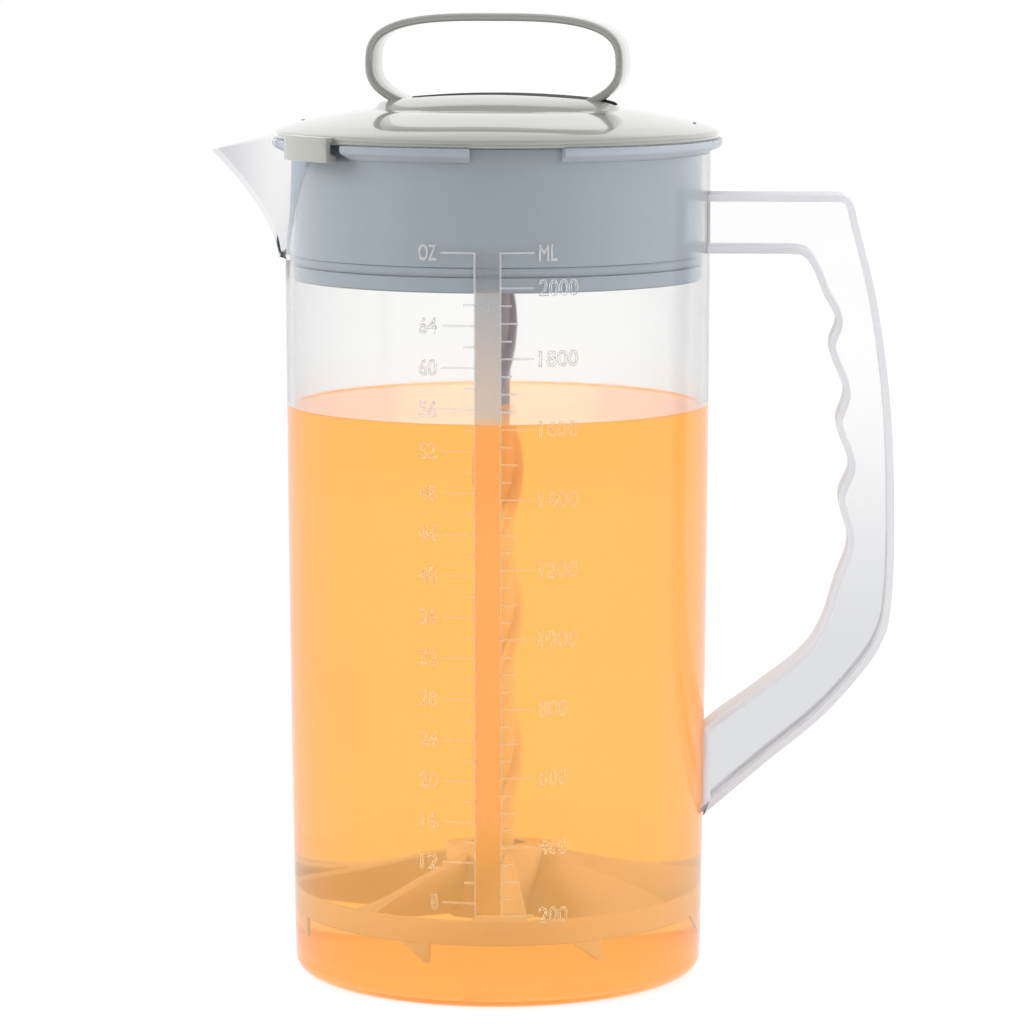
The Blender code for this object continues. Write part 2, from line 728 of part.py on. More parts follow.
def make_plunger_handle(material):
    """A ribbon bent into a long loop, drilled in its lower bar for the swivel screw."""
    middle = LOOP_BOTTOM + LOOP_HEIGHT
    outer = superellipse(LOOP_LENGTH, LOOP_HEIGHT, LOOP_EXPONENT, LOOP_STEPS)
    inner = superellipse(LOOP_LENGTH - LOOP_THICK, LOOP_HEIGHT - LOOP_THICK, LOOP_EXPONENT, LOOP_STEPS)
    shape = bmesh.new()
    loops = []
    for side in (-LOOP_WIDTH / 2, LOOP_WIDTH / 2):
        loops.append([shape.verts.new((point.x, side, middle + point.y)) for point in outer])
        loops.append([shape.verts.new((point.x, side, middle + point.y)) for point in inner])
    outer_front, inner_front, outer_back, inner_back = loops
    for first, second in (
        (outer_front, inner_front),
        (inner_front, inner_back),
        (inner_back, outer_back),
        (outer_back, outer_front),
    ):
        for index in range(LOOP_STEPS):
            following = (index + 1) % LOOP_STEPS
            shape.faces.new((first[index], first[following], second[following], second[index]))
    loop = finished("plunger_handle", shape, material)
    loop.rotation_euler.z = LOOP_ANGLE
    hole = pilot_hole("loop_hole", LOOP_BOTTOM - CUT_OVERRUN, LOOP_BOTTOM + LOOP_THICK + CUT_OVERRUN)
    combine(loop, hole, "DIFFERENCE")
    return loop


def make_swivel_washer(material):
    """The thrust washer between the loop's lower bar and the shaft."""
    hole = SCREW_RADIUS + TOUCH_GAP
    top = LOOP_BOTTOM - TOUCH_GAP
    bottom = top - WASHER_THICK
    rim = hole + WASHER_RIM
    profile = ((hole, top), (rim, top), (rim, bottom), (hole, bottom))
    return turned("swivel_washer", profile, material, steps=SMALL_ROUND_STEPS, closed=True)


def make_screw(name, seat, tip, material):
    """A pan-head screw whose head rests on its seat and whose shank runs to its tip."""
    side = 1 if seat > tip else -1
    head = seat + side * TOUCH_GAP
    crown = head + side * SCREW_HEAD_THICK
    bevel = SCREW_HEAD_THICK / 2
    profile = [
        (0, crown),
        (SCREW_HEAD - bevel, crown),
        (SCREW_HEAD, crown - side * bevel),
        (SCREW_HEAD, head),
        (SCREW_RADIUS, head),
        (SCREW_RADIUS, tip),
        (0, tip),
    ]
    return turned(name, profile if side > 0 else profile[::-1], material, steps=SMALL_ROUND_STEPS)


def blade_point(outward, down):
    """A point of a blade's sheet, from hub to ring and from its top edge to its foot."""
    hub = HUB_RADIUS - BLADE_THICK
    radius = hub + (ring_radius() - RING_WALL / 2 - hub) * outward
    ring_top = RING_BOTTOM + RING_HEIGHT - BLADE_FOOT
    top = HUB_TOP - BLADE_FOOT + (ring_top - HUB_TOP + BLADE_FOOT) * outward
    foot = HUB_BOTTOM + BLADE_FOOT + (RING_BOTTOM - HUB_BOTTOM) * outward
    return around(radius, FIRST_BLADE_ANGLE + BLADE_SWEEP * down, top + (foot - top) * down)


def blades():
    """The sloping vanes between hub and ring."""
    shape = bmesh.new()
    grid = []
    for row in range(BLADE_STEPS + 1):
        line = [blade_point(column / BLADE_STEPS, row / BLADE_STEPS) for column in range(BLADE_STEPS + 1)]
        grid.append([shape.verts.new(point) for point in line])
    for upper, lower in zip(grid, grid[1:]):
        for index in range(BLADE_STEPS):
            shape.faces.new((upper[index], upper[index + 1], lower[index + 1], lower[index]))
    bmesh.ops.recalc_face_normals(shape, faces=shape.faces)
    bmesh.ops.solidify(shape, geom=shape.faces[:], thickness=BLADE_THICK)
    return repeated("blades", shape)


def teeth():
    """Saw teeth under the ring, upright on one side and slanted on the other."""
    shape = bmesh.new()
    inside = ring_radius() - RING_WALL
    corners = (
        (-TOOTH_ANGLE, RING_BOTTOM + BLADE_FOOT),
        (0, RING_BOTTOM + BLADE_FOOT),
        (0, RING_BOTTOM - TOOTH_HEIGHT),
        (-TOOTH_TIP_ANGLE, RING_BOTTOM - TOOTH_HEIGHT),
    )
    rings = []
    for radius in (inside + MERGE_DISTANCE, ring_radius() - MERGE_DISTANCE):
        rings.append([around(radius, FIRST_TOOTH_ANGLE + angle, height) for angle, height in corners])
    add_loft(shape, rings)
    return repeated("teeth", shape)


def repeated(name, shape):
    """The shape once for each blade, evenly round the axis."""
    geometry = shape.verts[:] + shape.edges[:] + shape.faces[:]
    for copy in range(1, BLADE_COUNT):
        made = bmesh.ops.duplicate(shape, geom=geometry)
        verts = [item for item in made["geom"] if isinstance(item, bmesh.types.BMVert)]
        bmesh.ops.rotate(shape, verts=verts, matrix=Matrix.Rotation(math.tau * copy / BLADE_COUNT, 3, "Z"))
    return finished(name, shape)


def make_agitator(material):
    inside = ring_radius() - RING_WALL
    ring_top = RING_BOTTOM + RING_HEIGHT
    profile = ((inside, ring_top), (ring_radius(), ring_top), (ring_radius(), RING_BOTTOM), (inside, RING_BOTTOM))
    agitator = turned("agitator", profile, material, closed=True)
    bore = SHAFT_FIN + TOUCH_GAP
    hole = SCREW_RADIUS + TOUCH_GAP
    floor = SHAFT_BOTTOM - TOUCH_GAP
    hub_profile = (
        (bore, HUB_TOP),
        (HUB_RADIUS, HUB_TOP),
        (HUB_RADIUS, HUB_BOTTOM),
        (hole, HUB_BOTTOM),
        (hole, floor),
        (bore, floor),
    )
    combine(agitator, turned("hub", hub_profile, steps=SMALL_ROUND_STEPS, closed=True), "UNION")
    combine(agitator, blades(), "UNION")
    combine(agitator, teeth(), "UNION")
    return agitator


def joint_empty(name, parent=None):
    """An empty on the jug's axis, which is the axis of every joint."""
    made = bpy.data.objects.new(name, None)
    bpy.context.scene.collection.objects.link(made)
    made.location.z = 0 if parent else JUG_HEIGHT
    made.parent = parent
    return made


def carry(parent, *pieces):
    """Parents pieces to a joint's empty and keeps them where they are."""
    bpy.context.view_layer.update()
    for piece in pieces:
        piece.parent = parent
        piece.matrix_parent_inverse = parent.matrix_world.inverted()


def main():
    clear_scene()
    clear = plastic("clear_plastic", (0.93, 0.95, 0.96), 0.08, alpha=0.25)
    warm_grey = plastic("warm_grey_plastic", (0.42, 0.42, 0.39), 0.22)
    blue_grey = plastic("blue_grey_plastic", (0.45, 0.52, 0.58), 0.35)
    white = plastic("white_plastic", (0.82, 0.80, 0.76), 0.40)
    shaft_grey = plastic("shaft_plastic", (0.36, 0.35, 0.39), 0.40)
    rubber = plastic("seal_rubber", (0.55, 0.58, 0.60), 0.60)
    steel = plastic("steel", (0.60, 0.60, 0.60), 0.30, metallic=1.0)

    lift = joint_empty("lid_lift")
    turn = joint_empty("lid_turn", lift)
    plunge = joint_empty("plunger", turn)
    spin = joint_empty("shaft_spin", plunge)

    make_pitcher(clear)
    carry(lift, make_skirt_seal(rubber))
    carry(turn, make_lid_cover(warm_grey), make_lid_skirt(blue_grey), make_shaft_nut(white))
    carry(plunge, make_plunger_handle(warm_grey), make_swivel_washer(steel))
    top_screw = make_screw("swivel_screw", LOOP_BOTTOM + LOOP_THICK, SHAFT_TOP - SCREW_BITE, steel)
    foot_screw = make_screw("agitator_screw", HUB_BOTTOM, SHAFT_BOTTOM + SCREW_BITE, steel)
    carry(spin, make_spiral_shaft(shaft_grey), make_agitator(white), top_screw, foot_screw)


main()
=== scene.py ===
"""Looks of the quick stir pitcher: clear jug, scale, drink, lid, plunger and agitator.

The origin is the centre of the jug's underside. +Z is up, +X points along the jug's handle,
-X to its spout and -Y to the side with the volume scale. All sizes are in metres.
"""

import math

import bmesh
import bpy
from mathutils import Matrix, Vector

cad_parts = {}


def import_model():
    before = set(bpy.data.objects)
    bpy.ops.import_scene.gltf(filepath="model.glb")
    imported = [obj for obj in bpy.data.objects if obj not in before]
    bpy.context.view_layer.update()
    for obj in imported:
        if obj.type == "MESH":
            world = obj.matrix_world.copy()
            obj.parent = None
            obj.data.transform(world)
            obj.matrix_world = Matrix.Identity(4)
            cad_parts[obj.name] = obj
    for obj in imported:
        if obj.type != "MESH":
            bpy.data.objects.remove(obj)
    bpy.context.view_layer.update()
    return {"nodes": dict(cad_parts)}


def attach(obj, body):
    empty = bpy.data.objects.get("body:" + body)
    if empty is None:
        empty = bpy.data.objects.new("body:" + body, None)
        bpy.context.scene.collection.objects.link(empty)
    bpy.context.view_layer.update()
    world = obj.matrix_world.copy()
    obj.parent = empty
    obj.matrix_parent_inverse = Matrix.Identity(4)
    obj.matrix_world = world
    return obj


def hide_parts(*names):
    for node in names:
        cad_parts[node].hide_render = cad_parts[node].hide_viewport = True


# Camera, from the photograph
CAMERA_PLACE = (0.0615, -1.3293, 0.3070)
CAMERA_PITCH = math.radians(90 - 7.51)
CAMERA_YAW = math.radians(2.4745)
CAMERA_LENS = 165.2
CAMERA_SENSOR = 36

# Mesh steps
TURN_STEPS = 160
SMALL_TURN_STEPS = 48
ARC_STEPS = 5
BEND_CUTS = 6
FONT_STEPS = 4
MERGE = 1e-6
SHARP_ANGLE = math.radians(38)
OVERRUN = 0.004
TOUCH_GAP = 0.0003
HAIR = TOUCH_GAP / 8

# Jug
JUG_HEIGHT = 0.2382
JUG_RADIUS = 0.0602
JUG_TAPER = 0.0019
JUG_WALL = 0.0020
JUG_FLOOR = 0.0020
FOOT_FILLET = 0.0043
JUG_RINGS = 16
LIP_REACH = 0.0033
LIP_FACE = 0.0016
LIP_SLOPE = 0.0017
LIP_ROUND = 0.0004
LIP_ROOT = 0.0007
LIP_TOP = JUG_HEIGHT + TOUCH_GAP * 0.8
LIP_GAP_ANGLE = math.radians(24)
TAB_ANGLES = (math.radians(-52.5), math.radians(127.5))
LID_TURN = math.radians(60)

# Beak
SPOUT_REACH = 0.0211
SPOUT_TIP_DROP = 0.0034
SPOUT_RIM_RISE = 0.0007
SPOUT_DEPTH = 0.0337
SPOUT_SWELL = 1.6
SPOUT_FOOT_REACH = 0.0022
SPOUT_FOOT_FILLET = 0.0020
SPOUT_CREASE_REACH = 0.0020
SPOUT_CREASE_WIDTH = 0.0160
SPOUT_INSIDE_SHARE = 0.74
SPOUT_WALL = 0.0016
SPOUT_RINGS = 22
SPOUT_ROOT = 0.0003
SPOUT_ROOT_RADIUS = 0.0578

# Beam handle
HANDLE_REACH = 0.0526
HANDLE_WIDTH = 0.0160
HANDLE_FLANGE = 0.0020
HANDLE_WEB = 0.0024
HANDLE_WEB_INSET = HANDLE_FLANGE * 0.8
HANDLE_TOP = 0.2229
HANDLE_ROUND = 0.0005
HANDLE_MERGE = HANDLE_ROUND / 8
OUTER_EDGE_SHARES = (
    (0.640, 1.000), (0.700, 0.9995), (0.745, 0.9945), (0.772, 0.982), (0.797, 0.958),
    (0.886, 0.875), (0.951, 0.779), (0.988, 0.680), (1.000, 0.550), (0.983, 0.470),
    (0.940, 0.431), (0.837, 0.392), (0.616, 0.333), (0.318, 0.274), (0.034, 0.216),
    (-0.022, 0.2045),
)
GRIP_EDGE_SHARES = (
    (-0.022, 0.3165), (0.055, 0.332), (0.287, 0.372), (0.492, 0.411), (0.606, 0.450),
    (0.680, 0.505), (0.749, 0.558), (0.696, 0.614), (0.751, 0.657), (0.680, 0.709),
    (0.720, 0.751), (0.639, 0.805), (0.675, 0.841), (0.606, 0.875), (0.560, 0.902),
    (0.505, 0.9215), (0.430, 0.9255),
)
OUTLINE_STEPS = 7

# Volume scale moulded on the wall
MARK_RISE = 0.00035
MARK_SINK = 0.00030
MARK_WIDTH = 0.00055
STRIP_HALF_WIDTH = 0.0035
STRIP_TOP = 0.2102
STRIP_FOOT = 0.0270
STRIP_RISE = 0.00012
TICK_LONG = 0.0127
TICK_MIDDLE = 0.0083
TICK_SHORT = 0.0066
LABEL_START = 0.0140
DIGIT_HEIGHT = 0.0046
DIGIT_PITCH = 0.0030
DIGIT_WIDTH = 0.0023
LABEL_LINE = 0.00024
FIRST_MARK_VOLUME = 400
FIRST_MARK_HEIGHT = 0.0461
RISE_PER_ML = 0.0000966
ML_PER_OUNCE = 29.57
VOLUMES = range(200, 2001, 50)
LABELLED_VOLUME = 200
OUNCES = range(8, 67, 2)
LABELLED_OUNCES = 4

# Drink
DRINK_LEVEL = 0.1629
DRINK_OVERLAP = 0.00005
DRINK_MENISCUS = 0.0003

# Lid cover
COVER_SEAT = JUG_HEIGHT + TOUCH_GAP
COVER_RIM = JUG_RADIUS + 0.00255
UPPER_BEAD = 0.00085
LOWER_BEAD = 0.000612
LOWER_BEAD_STEP = UPPER_BEAD * 0.92
COVER_RIM_HEIGHT = 0.0025
COVER_PLATE = 0.0030
DOME_POINTS = (
    (0.0000, 0.0089), (0.0190, 0.0087), (0.0300, 0.0083), (0.0380, 0.0077),
    (0.0480, 0.0060), (0.0555, 0.0045), (0.0605, 0.0031),
)
MOUND_LENGTH = 0.0365
MOUND_WIDTH = 0.0325
MOUND_RISE = 0.0122
MOUND_SAG = 0.0024
MOUND_RING_SHARES = (
    (1.000, 1.000, 0.46), (0.985, 0.945, 0.58), (0.968, 0.850, 0.71), (0.952, 0.760, 0.80),
    (0.940, 0.660, 0.875), (0.928, 0.550, 0.935), (0.915, 0.420, 0.980), (0.905, 0.320, 1.000),
)
MOUND_EXPONENT = 2.4
MOUND_CAP_SHARE = 0.8
WELL_LENGTH = 0.0340
WELL_WIDTH = 0.0084
WELL_EXPONENT = 4
WELL_STEPS = 96
WELL_ROUND = 0.0006
LOOP_ANGLE = math.radians(-6.7)
LOOP_BOTTOM = COVER_SEAT + 0.0054
WELL_FLOOR = LOOP_BOTTOM - TOUCH_GAP
COVER_UNDERSIDE = WELL_FLOOR - COVER_PLATE
SPIGOT_WALL = 0.0019
SPIGOT_DEPTH = 0.0052
SHAFT_HOLE = 0.00615
NUT_RADIUS = 0.00895
NUT_HEIGHT = 0.0096
BOSS_WALL = 0.0020
TAB_ANGLE = math.radians(19)
TAB_WALL = 0.0018
TAB_TOP = 0.0021
TAB_DEPTH = 0.0045
TAB_HOOK = 0.0012
TAB_ROUND = 0.0003
PIP_RADIUS = 0.0560
PIP_LENGTH = 0.0026
PIP_RISE = 0.0002

# Skirt and seal
SKIRT_BOTTOM = 0.1990
SKIRT_WALL = 0.0018
SKIRT_BAND_WALL = 0.0030
SKIRT_ROUND = 0.0004
SEAL_BOTTOM = 0.2032
SEAL_WIDTH = 0.0028
SEAL_THICK = 0.0011
SEAL_GAP = 0.00012
BAND_MARGIN = 0.0015
WINDOW_ANGLE = math.radians(-150)
WINDOW_SLOTS = 7
WINDOW_PITCH = math.radians(6)
WINDOW_SLOT_WIDTH = 0.0038
WINDOW_HEIGHT = 0.0200
WINDOW_FLOOR = 0.0110

# Plunger
LOOP_LENGTH = 0.0367
LOOP_HEIGHT = 0.0148
LOOP_THICK = 0.0022
LOOP_WIDTH = 0.0156
LOOP_ROUND = 0.0007
LOOP_TOP_EXPONENT = 3.1
LOOP_FOOT_EXPONENT = 2.35
LOOP_STEPS = 128
SHAFT_CORE = 0.0035
SHAFT_FIN = 0.00555
SHAFT_FIN_WIDTH = 0.0026
SHAFT_LEAD = 0.0805
SHAFT_FINS_ACROSS = 0.1852
SHAFT_BOTTOM = 0.0220
SHAFT_TOP = 0.2427
TWIST_STEP = math.radians(5)

# Agitator
RING_RADIUS = 0.0545
RING_WALL = 0.0022
RING_BOTTOM = 0.0174
RING_HEIGHT = 0.0071
RING_ROUND = 0.0005
HUB_RADIUS = 0.01125
HUB_TOP = 0.0390
HUB_BOTTOM = 0.0181
HUB_FLOOR = 0.0217
HUB_BORE = 0.00585
HUB_HOLE = 0.0018
BLADE_COUNT = 7
BLADE_THICK = 0.0017
BLADE_FOOT = 0.0012
BLADE_SWEEP = math.radians(-26)
BLADE_STEPS = 14
FIRST_BLADE_ANGLE = math.radians(11.8)
TOOTH_HEIGHT = 0.0054
TOOTH_ANGLE = math.radians(11)
TOOTH_TIP_ANGLE = math.radians(1.6)
FIRST_TOOTH_ANGLE = math.radians(-17.5)

# Looks. A tint is linear red, green and blue, or an axis, two places on it and the tints there.
# A finish is roughness, cloud strength, grain scale and grain strength.
WHITE = (1.0, 1.0, 1.0)
BLACK = (0.0, 0.0, 0.0)
ALONG, UP = 1, 3
CLOUD_SCALE = 42.0
CLOUD_DETAIL = 3.0
SMEAR_SCALE = 160.0
SMEAR_STRENGTH = 0.08
GRAIN_DEPTH = 0.0002
GRAIN_DETAIL = 2.0
COAT_ROUGHNESS = 0.03
LAMP_SHARE = 0.92
CLEAR_IOR = 1.49
EDGE = 0.001
CLEAR_TINT = (0.99, 0.99, 0.985)
# The beak is painted greyer towards its tip: painted shade on its flanks and keel.
BEAK_PAINTED_SHADE = (
    ALONG, -JUG_RADIUS - SPOUT_REACH * 0.95, -JUG_RADIUS - SPOUT_REACH * 0.05,
    (0.83, 0.83, 0.85), CLEAR_TINT,
)
# The handle's web is painted greyer towards its foot: painted shade.
WEB_PAINTED_SHADE = (UP, 0.090, 0.178, (0.74, 0.745, 0.765), WHITE)
# Below the drink's level the raised marks are painted orange: painted light of the drink behind
# them.
MARKS_PAINTED_DRINK_LIGHT = (UP, DRINK_LEVEL - EDGE, DRINK_LEVEL + 0.003, (1.0, 0.80, 0.46), (0.90, 0.90, 0.91))
# The strip is painted light: orange below the drink's level, where the drink's light shows through;
# bluish above it, which offsets that orange; white, so lighter, over the collar.
STRIP_PAINTED_LIGHT = (UP, DRINK_LEVEL - EDGE, DRINK_LEVEL + 0.004, (1.0, 0.87, 0.53), (0.80, 0.92, 1.0))
STRIP_AND_COLLAR_PAINTED_LIGHT = (UP, SKIRT_BOTTOM - EDGE, SKIRT_BOTTOM + EDGE, STRIP_PAINTED_LIGHT, WHITE)
# Under the drink the shaft is painted brownish orange near the surface and pale lower down: painted
# light of the cloudy drink over it. Above the drink it is plain dark grey.
SHAFT_PAINTED_DRINK_LIGHT = (UP, 0.131, 0.139, (0.80, 0.78, 0.66), (0.70, 0.47, 0.36))
SHAFT_TINT = (UP, DRINK_LEVEL - EDGE, DRINK_LEVEL, SHAFT_PAINTED_DRINK_LIGHT, (0.30, 0.295, 0.37))
DRINK_TINT = (UP, 0.1400, 0.1412, (1.0, 0.366, 0.085), (1.0, 0.350, 0.070))
DRINK_PULP = (1.0, 0.32, 0.06)
DRINK_GLOW = (0.20, 0.118, 0.012)
PULP_GLOW = (0.18, 0.10, 0.009)
PULP_SCALE = 60.0
PULP_STRENGTH = 0.06
DRINK_ROUGHNESS = 0.02
DRINK_TRANSMISSION = 0.96
DRINK_IOR = 1.333
DRINK_LAMP_SHARE = 0.8

# Opaque materials: tint, finish, coat weight, metallic
MOULDED = {
    "warm_grey_plastic": ((0.31, 0.31, 0.287), (0.08, 0.06, 2500, 0.03), 1.0, 0.0),
    "blue_grey_plastic": ((0.33, 0.39, 0.45), (0.34, 0.06, 2500, 0.03), 0.0, 0.0),
    "white_plastic": ((0.72, 0.73, 0.73), (0.36, 0.06, 2500, 0.03), 0.0, 0.0),
    "seal_rubber": ((0.32, 0.38, 0.44), (0.45, 0.06, 2500, 0.08), 0.0, 0.0),
    "brushed_steel": ((0.62, 0.62, 0.62), (0.24, 0.06, 2500, 0.03), 0.0, 1.0),
    "shaft_plastic": (SHAFT_TINT, (0.36, 0.08, 2500, 0.04), 0.0, 0.0),
}

# Clear and frosted plastics: tint, painted shade colour at a slant, finish, transmission weight,
# IOR
SEE_THROUGH = {
    "clear_plastic": (CLEAR_TINT, (0.61, 0.615, 0.63), (0.02, 0.03, 900, 0.01), 1.0, CLEAR_IOR),
    # The clear lips are painted light blue-grey and milky: painted light, the lit collar seen
    # through them.
    "lip_plastic": (
        (0.84, 0.90, 0.97), (0.74, 0.78, 0.82), (0.25, 0.03, 900, 0.01), 0.75, CLEAR_IOR,
    ),
    "flange_plastic": (
        (0.86, 0.855, 0.89), (0.74, 0.75, 0.77), (0.30, 0.03, 900, 0.01), 0.45, CLEAR_IOR,
    ),
    "beak_plastic": (BEAK_PAINTED_SHADE, (0.76, 0.76, 0.79), (0.02, 0.02, 900, 0.01), 1.0, 1.06),
    "web_plastic": (WEB_PAINTED_SHADE, (0.80, 0.80, 0.82), (0.05, 0.02, 900, 0.01), 1.0, CLEAR_IOR),
    "raised_marks": (MARKS_PAINTED_DRINK_LIGHT, (0.80, 0.78, 0.76), (0.08, 0.03, 900, 0.01), 0.75, CLEAR_IOR),
    "grained_strip": (STRIP_AND_COLLAR_PAINTED_LIGHT, None, (0.5, 0.05, 1900, 1.0), 1.0, 1.4),
}
HIDDEN_NODES = {
    "shaft_nut": "white_plastic", "swivel_washer": "brushed_steel",
    "swivel_screw": "brushed_steel", "agitator_screw": "brushed_steel",
}

# Stage
LAMPS = {
    "key": ((-1.62, -0.36, 0.90), 0.9, 24),
    "fill": ((1.65, -0.28, 0.55), 0.9, 21),
    "top": ((0.10, 0.30, 1.50), 0.5, 4),
}
LAMP_AIM = (0, 0, 0.13)
WORLD_FRONT = (0.22, 0.23, 0.25)
WORLD_OVERHEAD_GLOSS = (0.60, 0.60, 0.61)
WORLD_BEHIND = (-0.80, 0.30)
WORLD_ABOVE = (0.52, 0.66)
FLOOR_SIZE = 6
FLOOR_GREY = (0.40, 0.40, 0.40)
FLOOR_GLOW = (0.67, 0.67, 0.67)
FLOOR_ROUGHNESS = 0.9


# Shapes


def around(radius, angle, height):
    """The point at this radius and height, its angle counted from -Y towards +X."""
    return Vector((radius * math.sin(angle), -radius * math.cos(angle), height))


def jug_radius(height):
    """Outside radius of the jug, which narrows a little towards its foot."""
    return JUG_RADIUS - JUG_TAPER * (1 - height / JUG_HEIGHT) ** 2


def skirt_radius():
    return jug_radius(SKIRT_BOTTOM) - JUG_WALL - TOUCH_GAP


def arc(middle, height, size, start, end, steps=ARC_STEPS):
    """Points of an arc in a turned profile, between two angles in degrees."""
    points = []
    for step in range(steps + 1):
        angle = math.radians(start + (end - start) * step / steps)
        points.append((middle + size * math.cos(angle), height + size * math.sin(angle)))
    return points


def smooth_line(points, steps=OUTLINE_STEPS):
    """A Catmull-Rom curve through the points."""
    points = [Vector(point) for point in points]
    padded = [points[0] * 2 - points[1], *points, points[-1] * 2 - points[-2]]
    line = []
    for before, first, second, after in zip(padded, padded[1:], padded[2:], padded[3:]):
        for step in range(steps):
            share = step / steps
            line.append(
                first
                + (second - before) * share / 2
                + (before * 2 - first * 5 + second * 4 - after) * share**2 / 2
                + (first * 3 - before - second * 3 + after) * share**3 / 2
            )
    return [*line, points[-1]]


def superellipse(half_length, half_width, exponent, steps=WELL_STEPS):
    """Points round a superellipse, anticlockwise."""
    points = []
    for step in range(steps):
        angle = math.tau * step / steps
        run, rise = math.cos(angle), math.sin(angle)
        along = half_length * math.copysign(abs(run) ** (2 / exponent), run)
        across = half_width * math.copysign(abs(rise) ** (2 / exponent), rise)
        points.append(Vector((along, across)))
    return points


def ring_at(outline, height):
    """The outline's points at one height."""
    return [(point.x, point.y, height) for point in outline]


def face_outwards(shape):
    bmesh.ops.recalc_face_normals(shape, faces=shape.faces)


def turn_about_z(shape, angle, corners=None):
    """Turns all of the shape, or some of its corners, about Z."""
    turn = Matrix.Rotation(angle, 3, "Z")
    bmesh.ops.rotate(shape, verts=corners or shape.verts, matrix=turn)


def add_line(shape, points, closed=True):
    """A row of joined vertices, from which operators make faces."""
    corners = [shape.verts.new(point) for point in points]
    edges = [shape.edges.new(pair) for pair in zip(corners, corners[1:])]
    if closed:
        edges.append(shape.edges.new((corners[-1], corners[0])))
    return edges


def add_turned(shape, profile, closed=False, steps=TURN_STEPS):
    """Turns (radius, height) points about Z."""
    edges = add_line(shape, [(radius, 0, height) for radius, height in profile], closed)
    corners = {corner for edge in edges for corner in edge.verts}
    bmesh.ops.spin(
        shape, geom=[*corners, *edges], axis=(0, 0, 1), angle=math.tau, steps=steps, use_merge=True
    )
    bmesh.ops.remove_doubles(shape, verts=shape.verts, dist=MERGE)


def add_sector(shape, profile, start, end):
    """Turns a closed profile through part of a circle and closes its ends."""
    steps = max(3, round(TURN_STEPS * (end - start) / math.tau))
    corners = [shape.verts.new(around(radius, start, height)) for radius, height in profile]
    face = shape.faces.new(corners)
    bmesh.ops.spin(
        shape, geom=[face, *face.edges, *face.verts], axis=(0, 0, 1), angle=end - start, steps=steps
    )


def add_loft(shape, rings):
    """Bridges a stack of closed rings and fills the first and last."""
    loops = [add_line(shape, ring) for ring in rings]
    for lower, upper in zip(loops, loops[1:]):
        bmesh.ops.bridge_loops(shape, edges=lower + upper)
    for loop in (loops[0], loops[-1]):
        bmesh.ops.contextual_create(shape, geom=loop)


def add_prism(shape, outline, low, high):
    """Extrudes an outline of (x, z) points along Y and gives back its two end faces."""
    face = shape.faces.new([shape.verts.new((point[0], low, point[1])) for point in outline])
    grown = bmesh.ops.extrude_face_region(shape, geom=[face])["geom"]
    moved = [item for item in grown if isinstance(item, bmesh.types.BMVert)]
    bmesh.ops.translate(shape, verts=moved, vec=(0, high - low, 0))
    ends = [item for item in grown if isinstance(item, bmesh.types.BMFace)]
    return [face, *ends]


def add_block(shape, low, high, cuts=0):
    """A block between two corners, cut across so that it can bend; gives back its corners."""
    low, high = Vector(low), Vector(high)
    made = bmesh.ops.create_cube(shape, size=1)["verts"]
    bmesh.ops.scale(shape, verts=made, vec=high - low)
    bmesh.ops.translate(shape, verts=made, vec=(low + high) / 2)
    if cuts:
        along = {
            edge for corner in made for edge in corner.link_edges
            if abs(edge.verts[0].co.x - edge.verts[1].co.x) > (high.x - low.x) / 2
        }
        bmesh.ops.subdivide_edges(shape, edges=list(along), cuts=cuts, use_grid_fill=True)
    return made


def round_edges(shape, size, segments=2, least_angle=SHARP_ANGLE):
    """Bevels each edge whose faces meet at more than an angle."""
    sharp = [
        edge for edge in shape.edges
        if len(edge.link_faces) == 2 and edge.calc_face_angle(0) > least_angle
    ]
    bmesh.ops.bevel(
        shape, geom=sharp, offset=size, offset_type="OFFSET", segments=segments, profile=0.5,
        affect="EDGES", clamp_overlap=True, material=-1,
    )


def new_object(name, data):
    made = bpy.data.objects.new(name, data)
    bpy.context.scene.collection.objects.link(made)
    return made


def finished(name, shape):
    """The bmesh as a smooth-shaded object with its faces pointing out."""
    bmesh.ops.remove_doubles(shape, verts=shape.verts, dist=MERGE)
    face_outwards(shape)
    mesh = bpy.data.meshes.new(name)
    shape.to_mesh(mesh)
    shape.free()
    shade(mesh)
    return new_object(name, mesh)


def shade(mesh):
    mesh.shade_smooth()
    mesh.set_sharp_from_angle(angle=SHARP_ANGLE)


def combine(target, tool, operation):
    """Adds or cuts the tool's solid, then takes the tool away."""
    change = target.modifiers.new(tool.name, "BOOLEAN")
    change.operation = operation
    change.object = tool
    change.solver = "EXACT"
    graph = bpy.context.evaluated_depsgraph_get()
    target.data = bpy.data.meshes.new_from_object(target.evaluated_get(graph))
    target.modifiers.clear()
    bpy.data.objects.remove(tool)
    shade(target.data)


def drill(target, radius, low, high):
    """Cuts a round hole on the Z axis."""
    profile = ((0, high), (radius, high), (radius, low), (0, low))
    combine(target, turned("hole", profile, steps=SMALL_TURN_STEPS), "DIFFERENCE")


def dressed(made, material, body, slot, *nodes):
    """Gives a piece its material and its body, and hides the CAD nodes that it stands for; its slot
    is not used.
    """
    made.data.materials.clear()
    made.data.materials.append(material)
    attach(made, body)
    if nodes:
        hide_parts(*nodes)
    return made


# Clear jug


def jug_outside():
    """The turned profile of the jug's outside, cut off above its rim later."""
    foot = jug_radius(0)
    profile = [(0, 0), *arc(foot - FOOT_FILLET, FOOT_FILLET, FOOT_FILLET, -90, 0)]
    for ring in range(1, JUG_RINGS + 1):
        height = FOOT_FILLET + (JUG_HEIGHT + OVERRUN - FOOT_FILLET) * ring / JUG_RINGS
        profile.append((jug_radius(height), height))
    profile.append((0, JUG_HEIGHT + OVERRUN))
    return profile


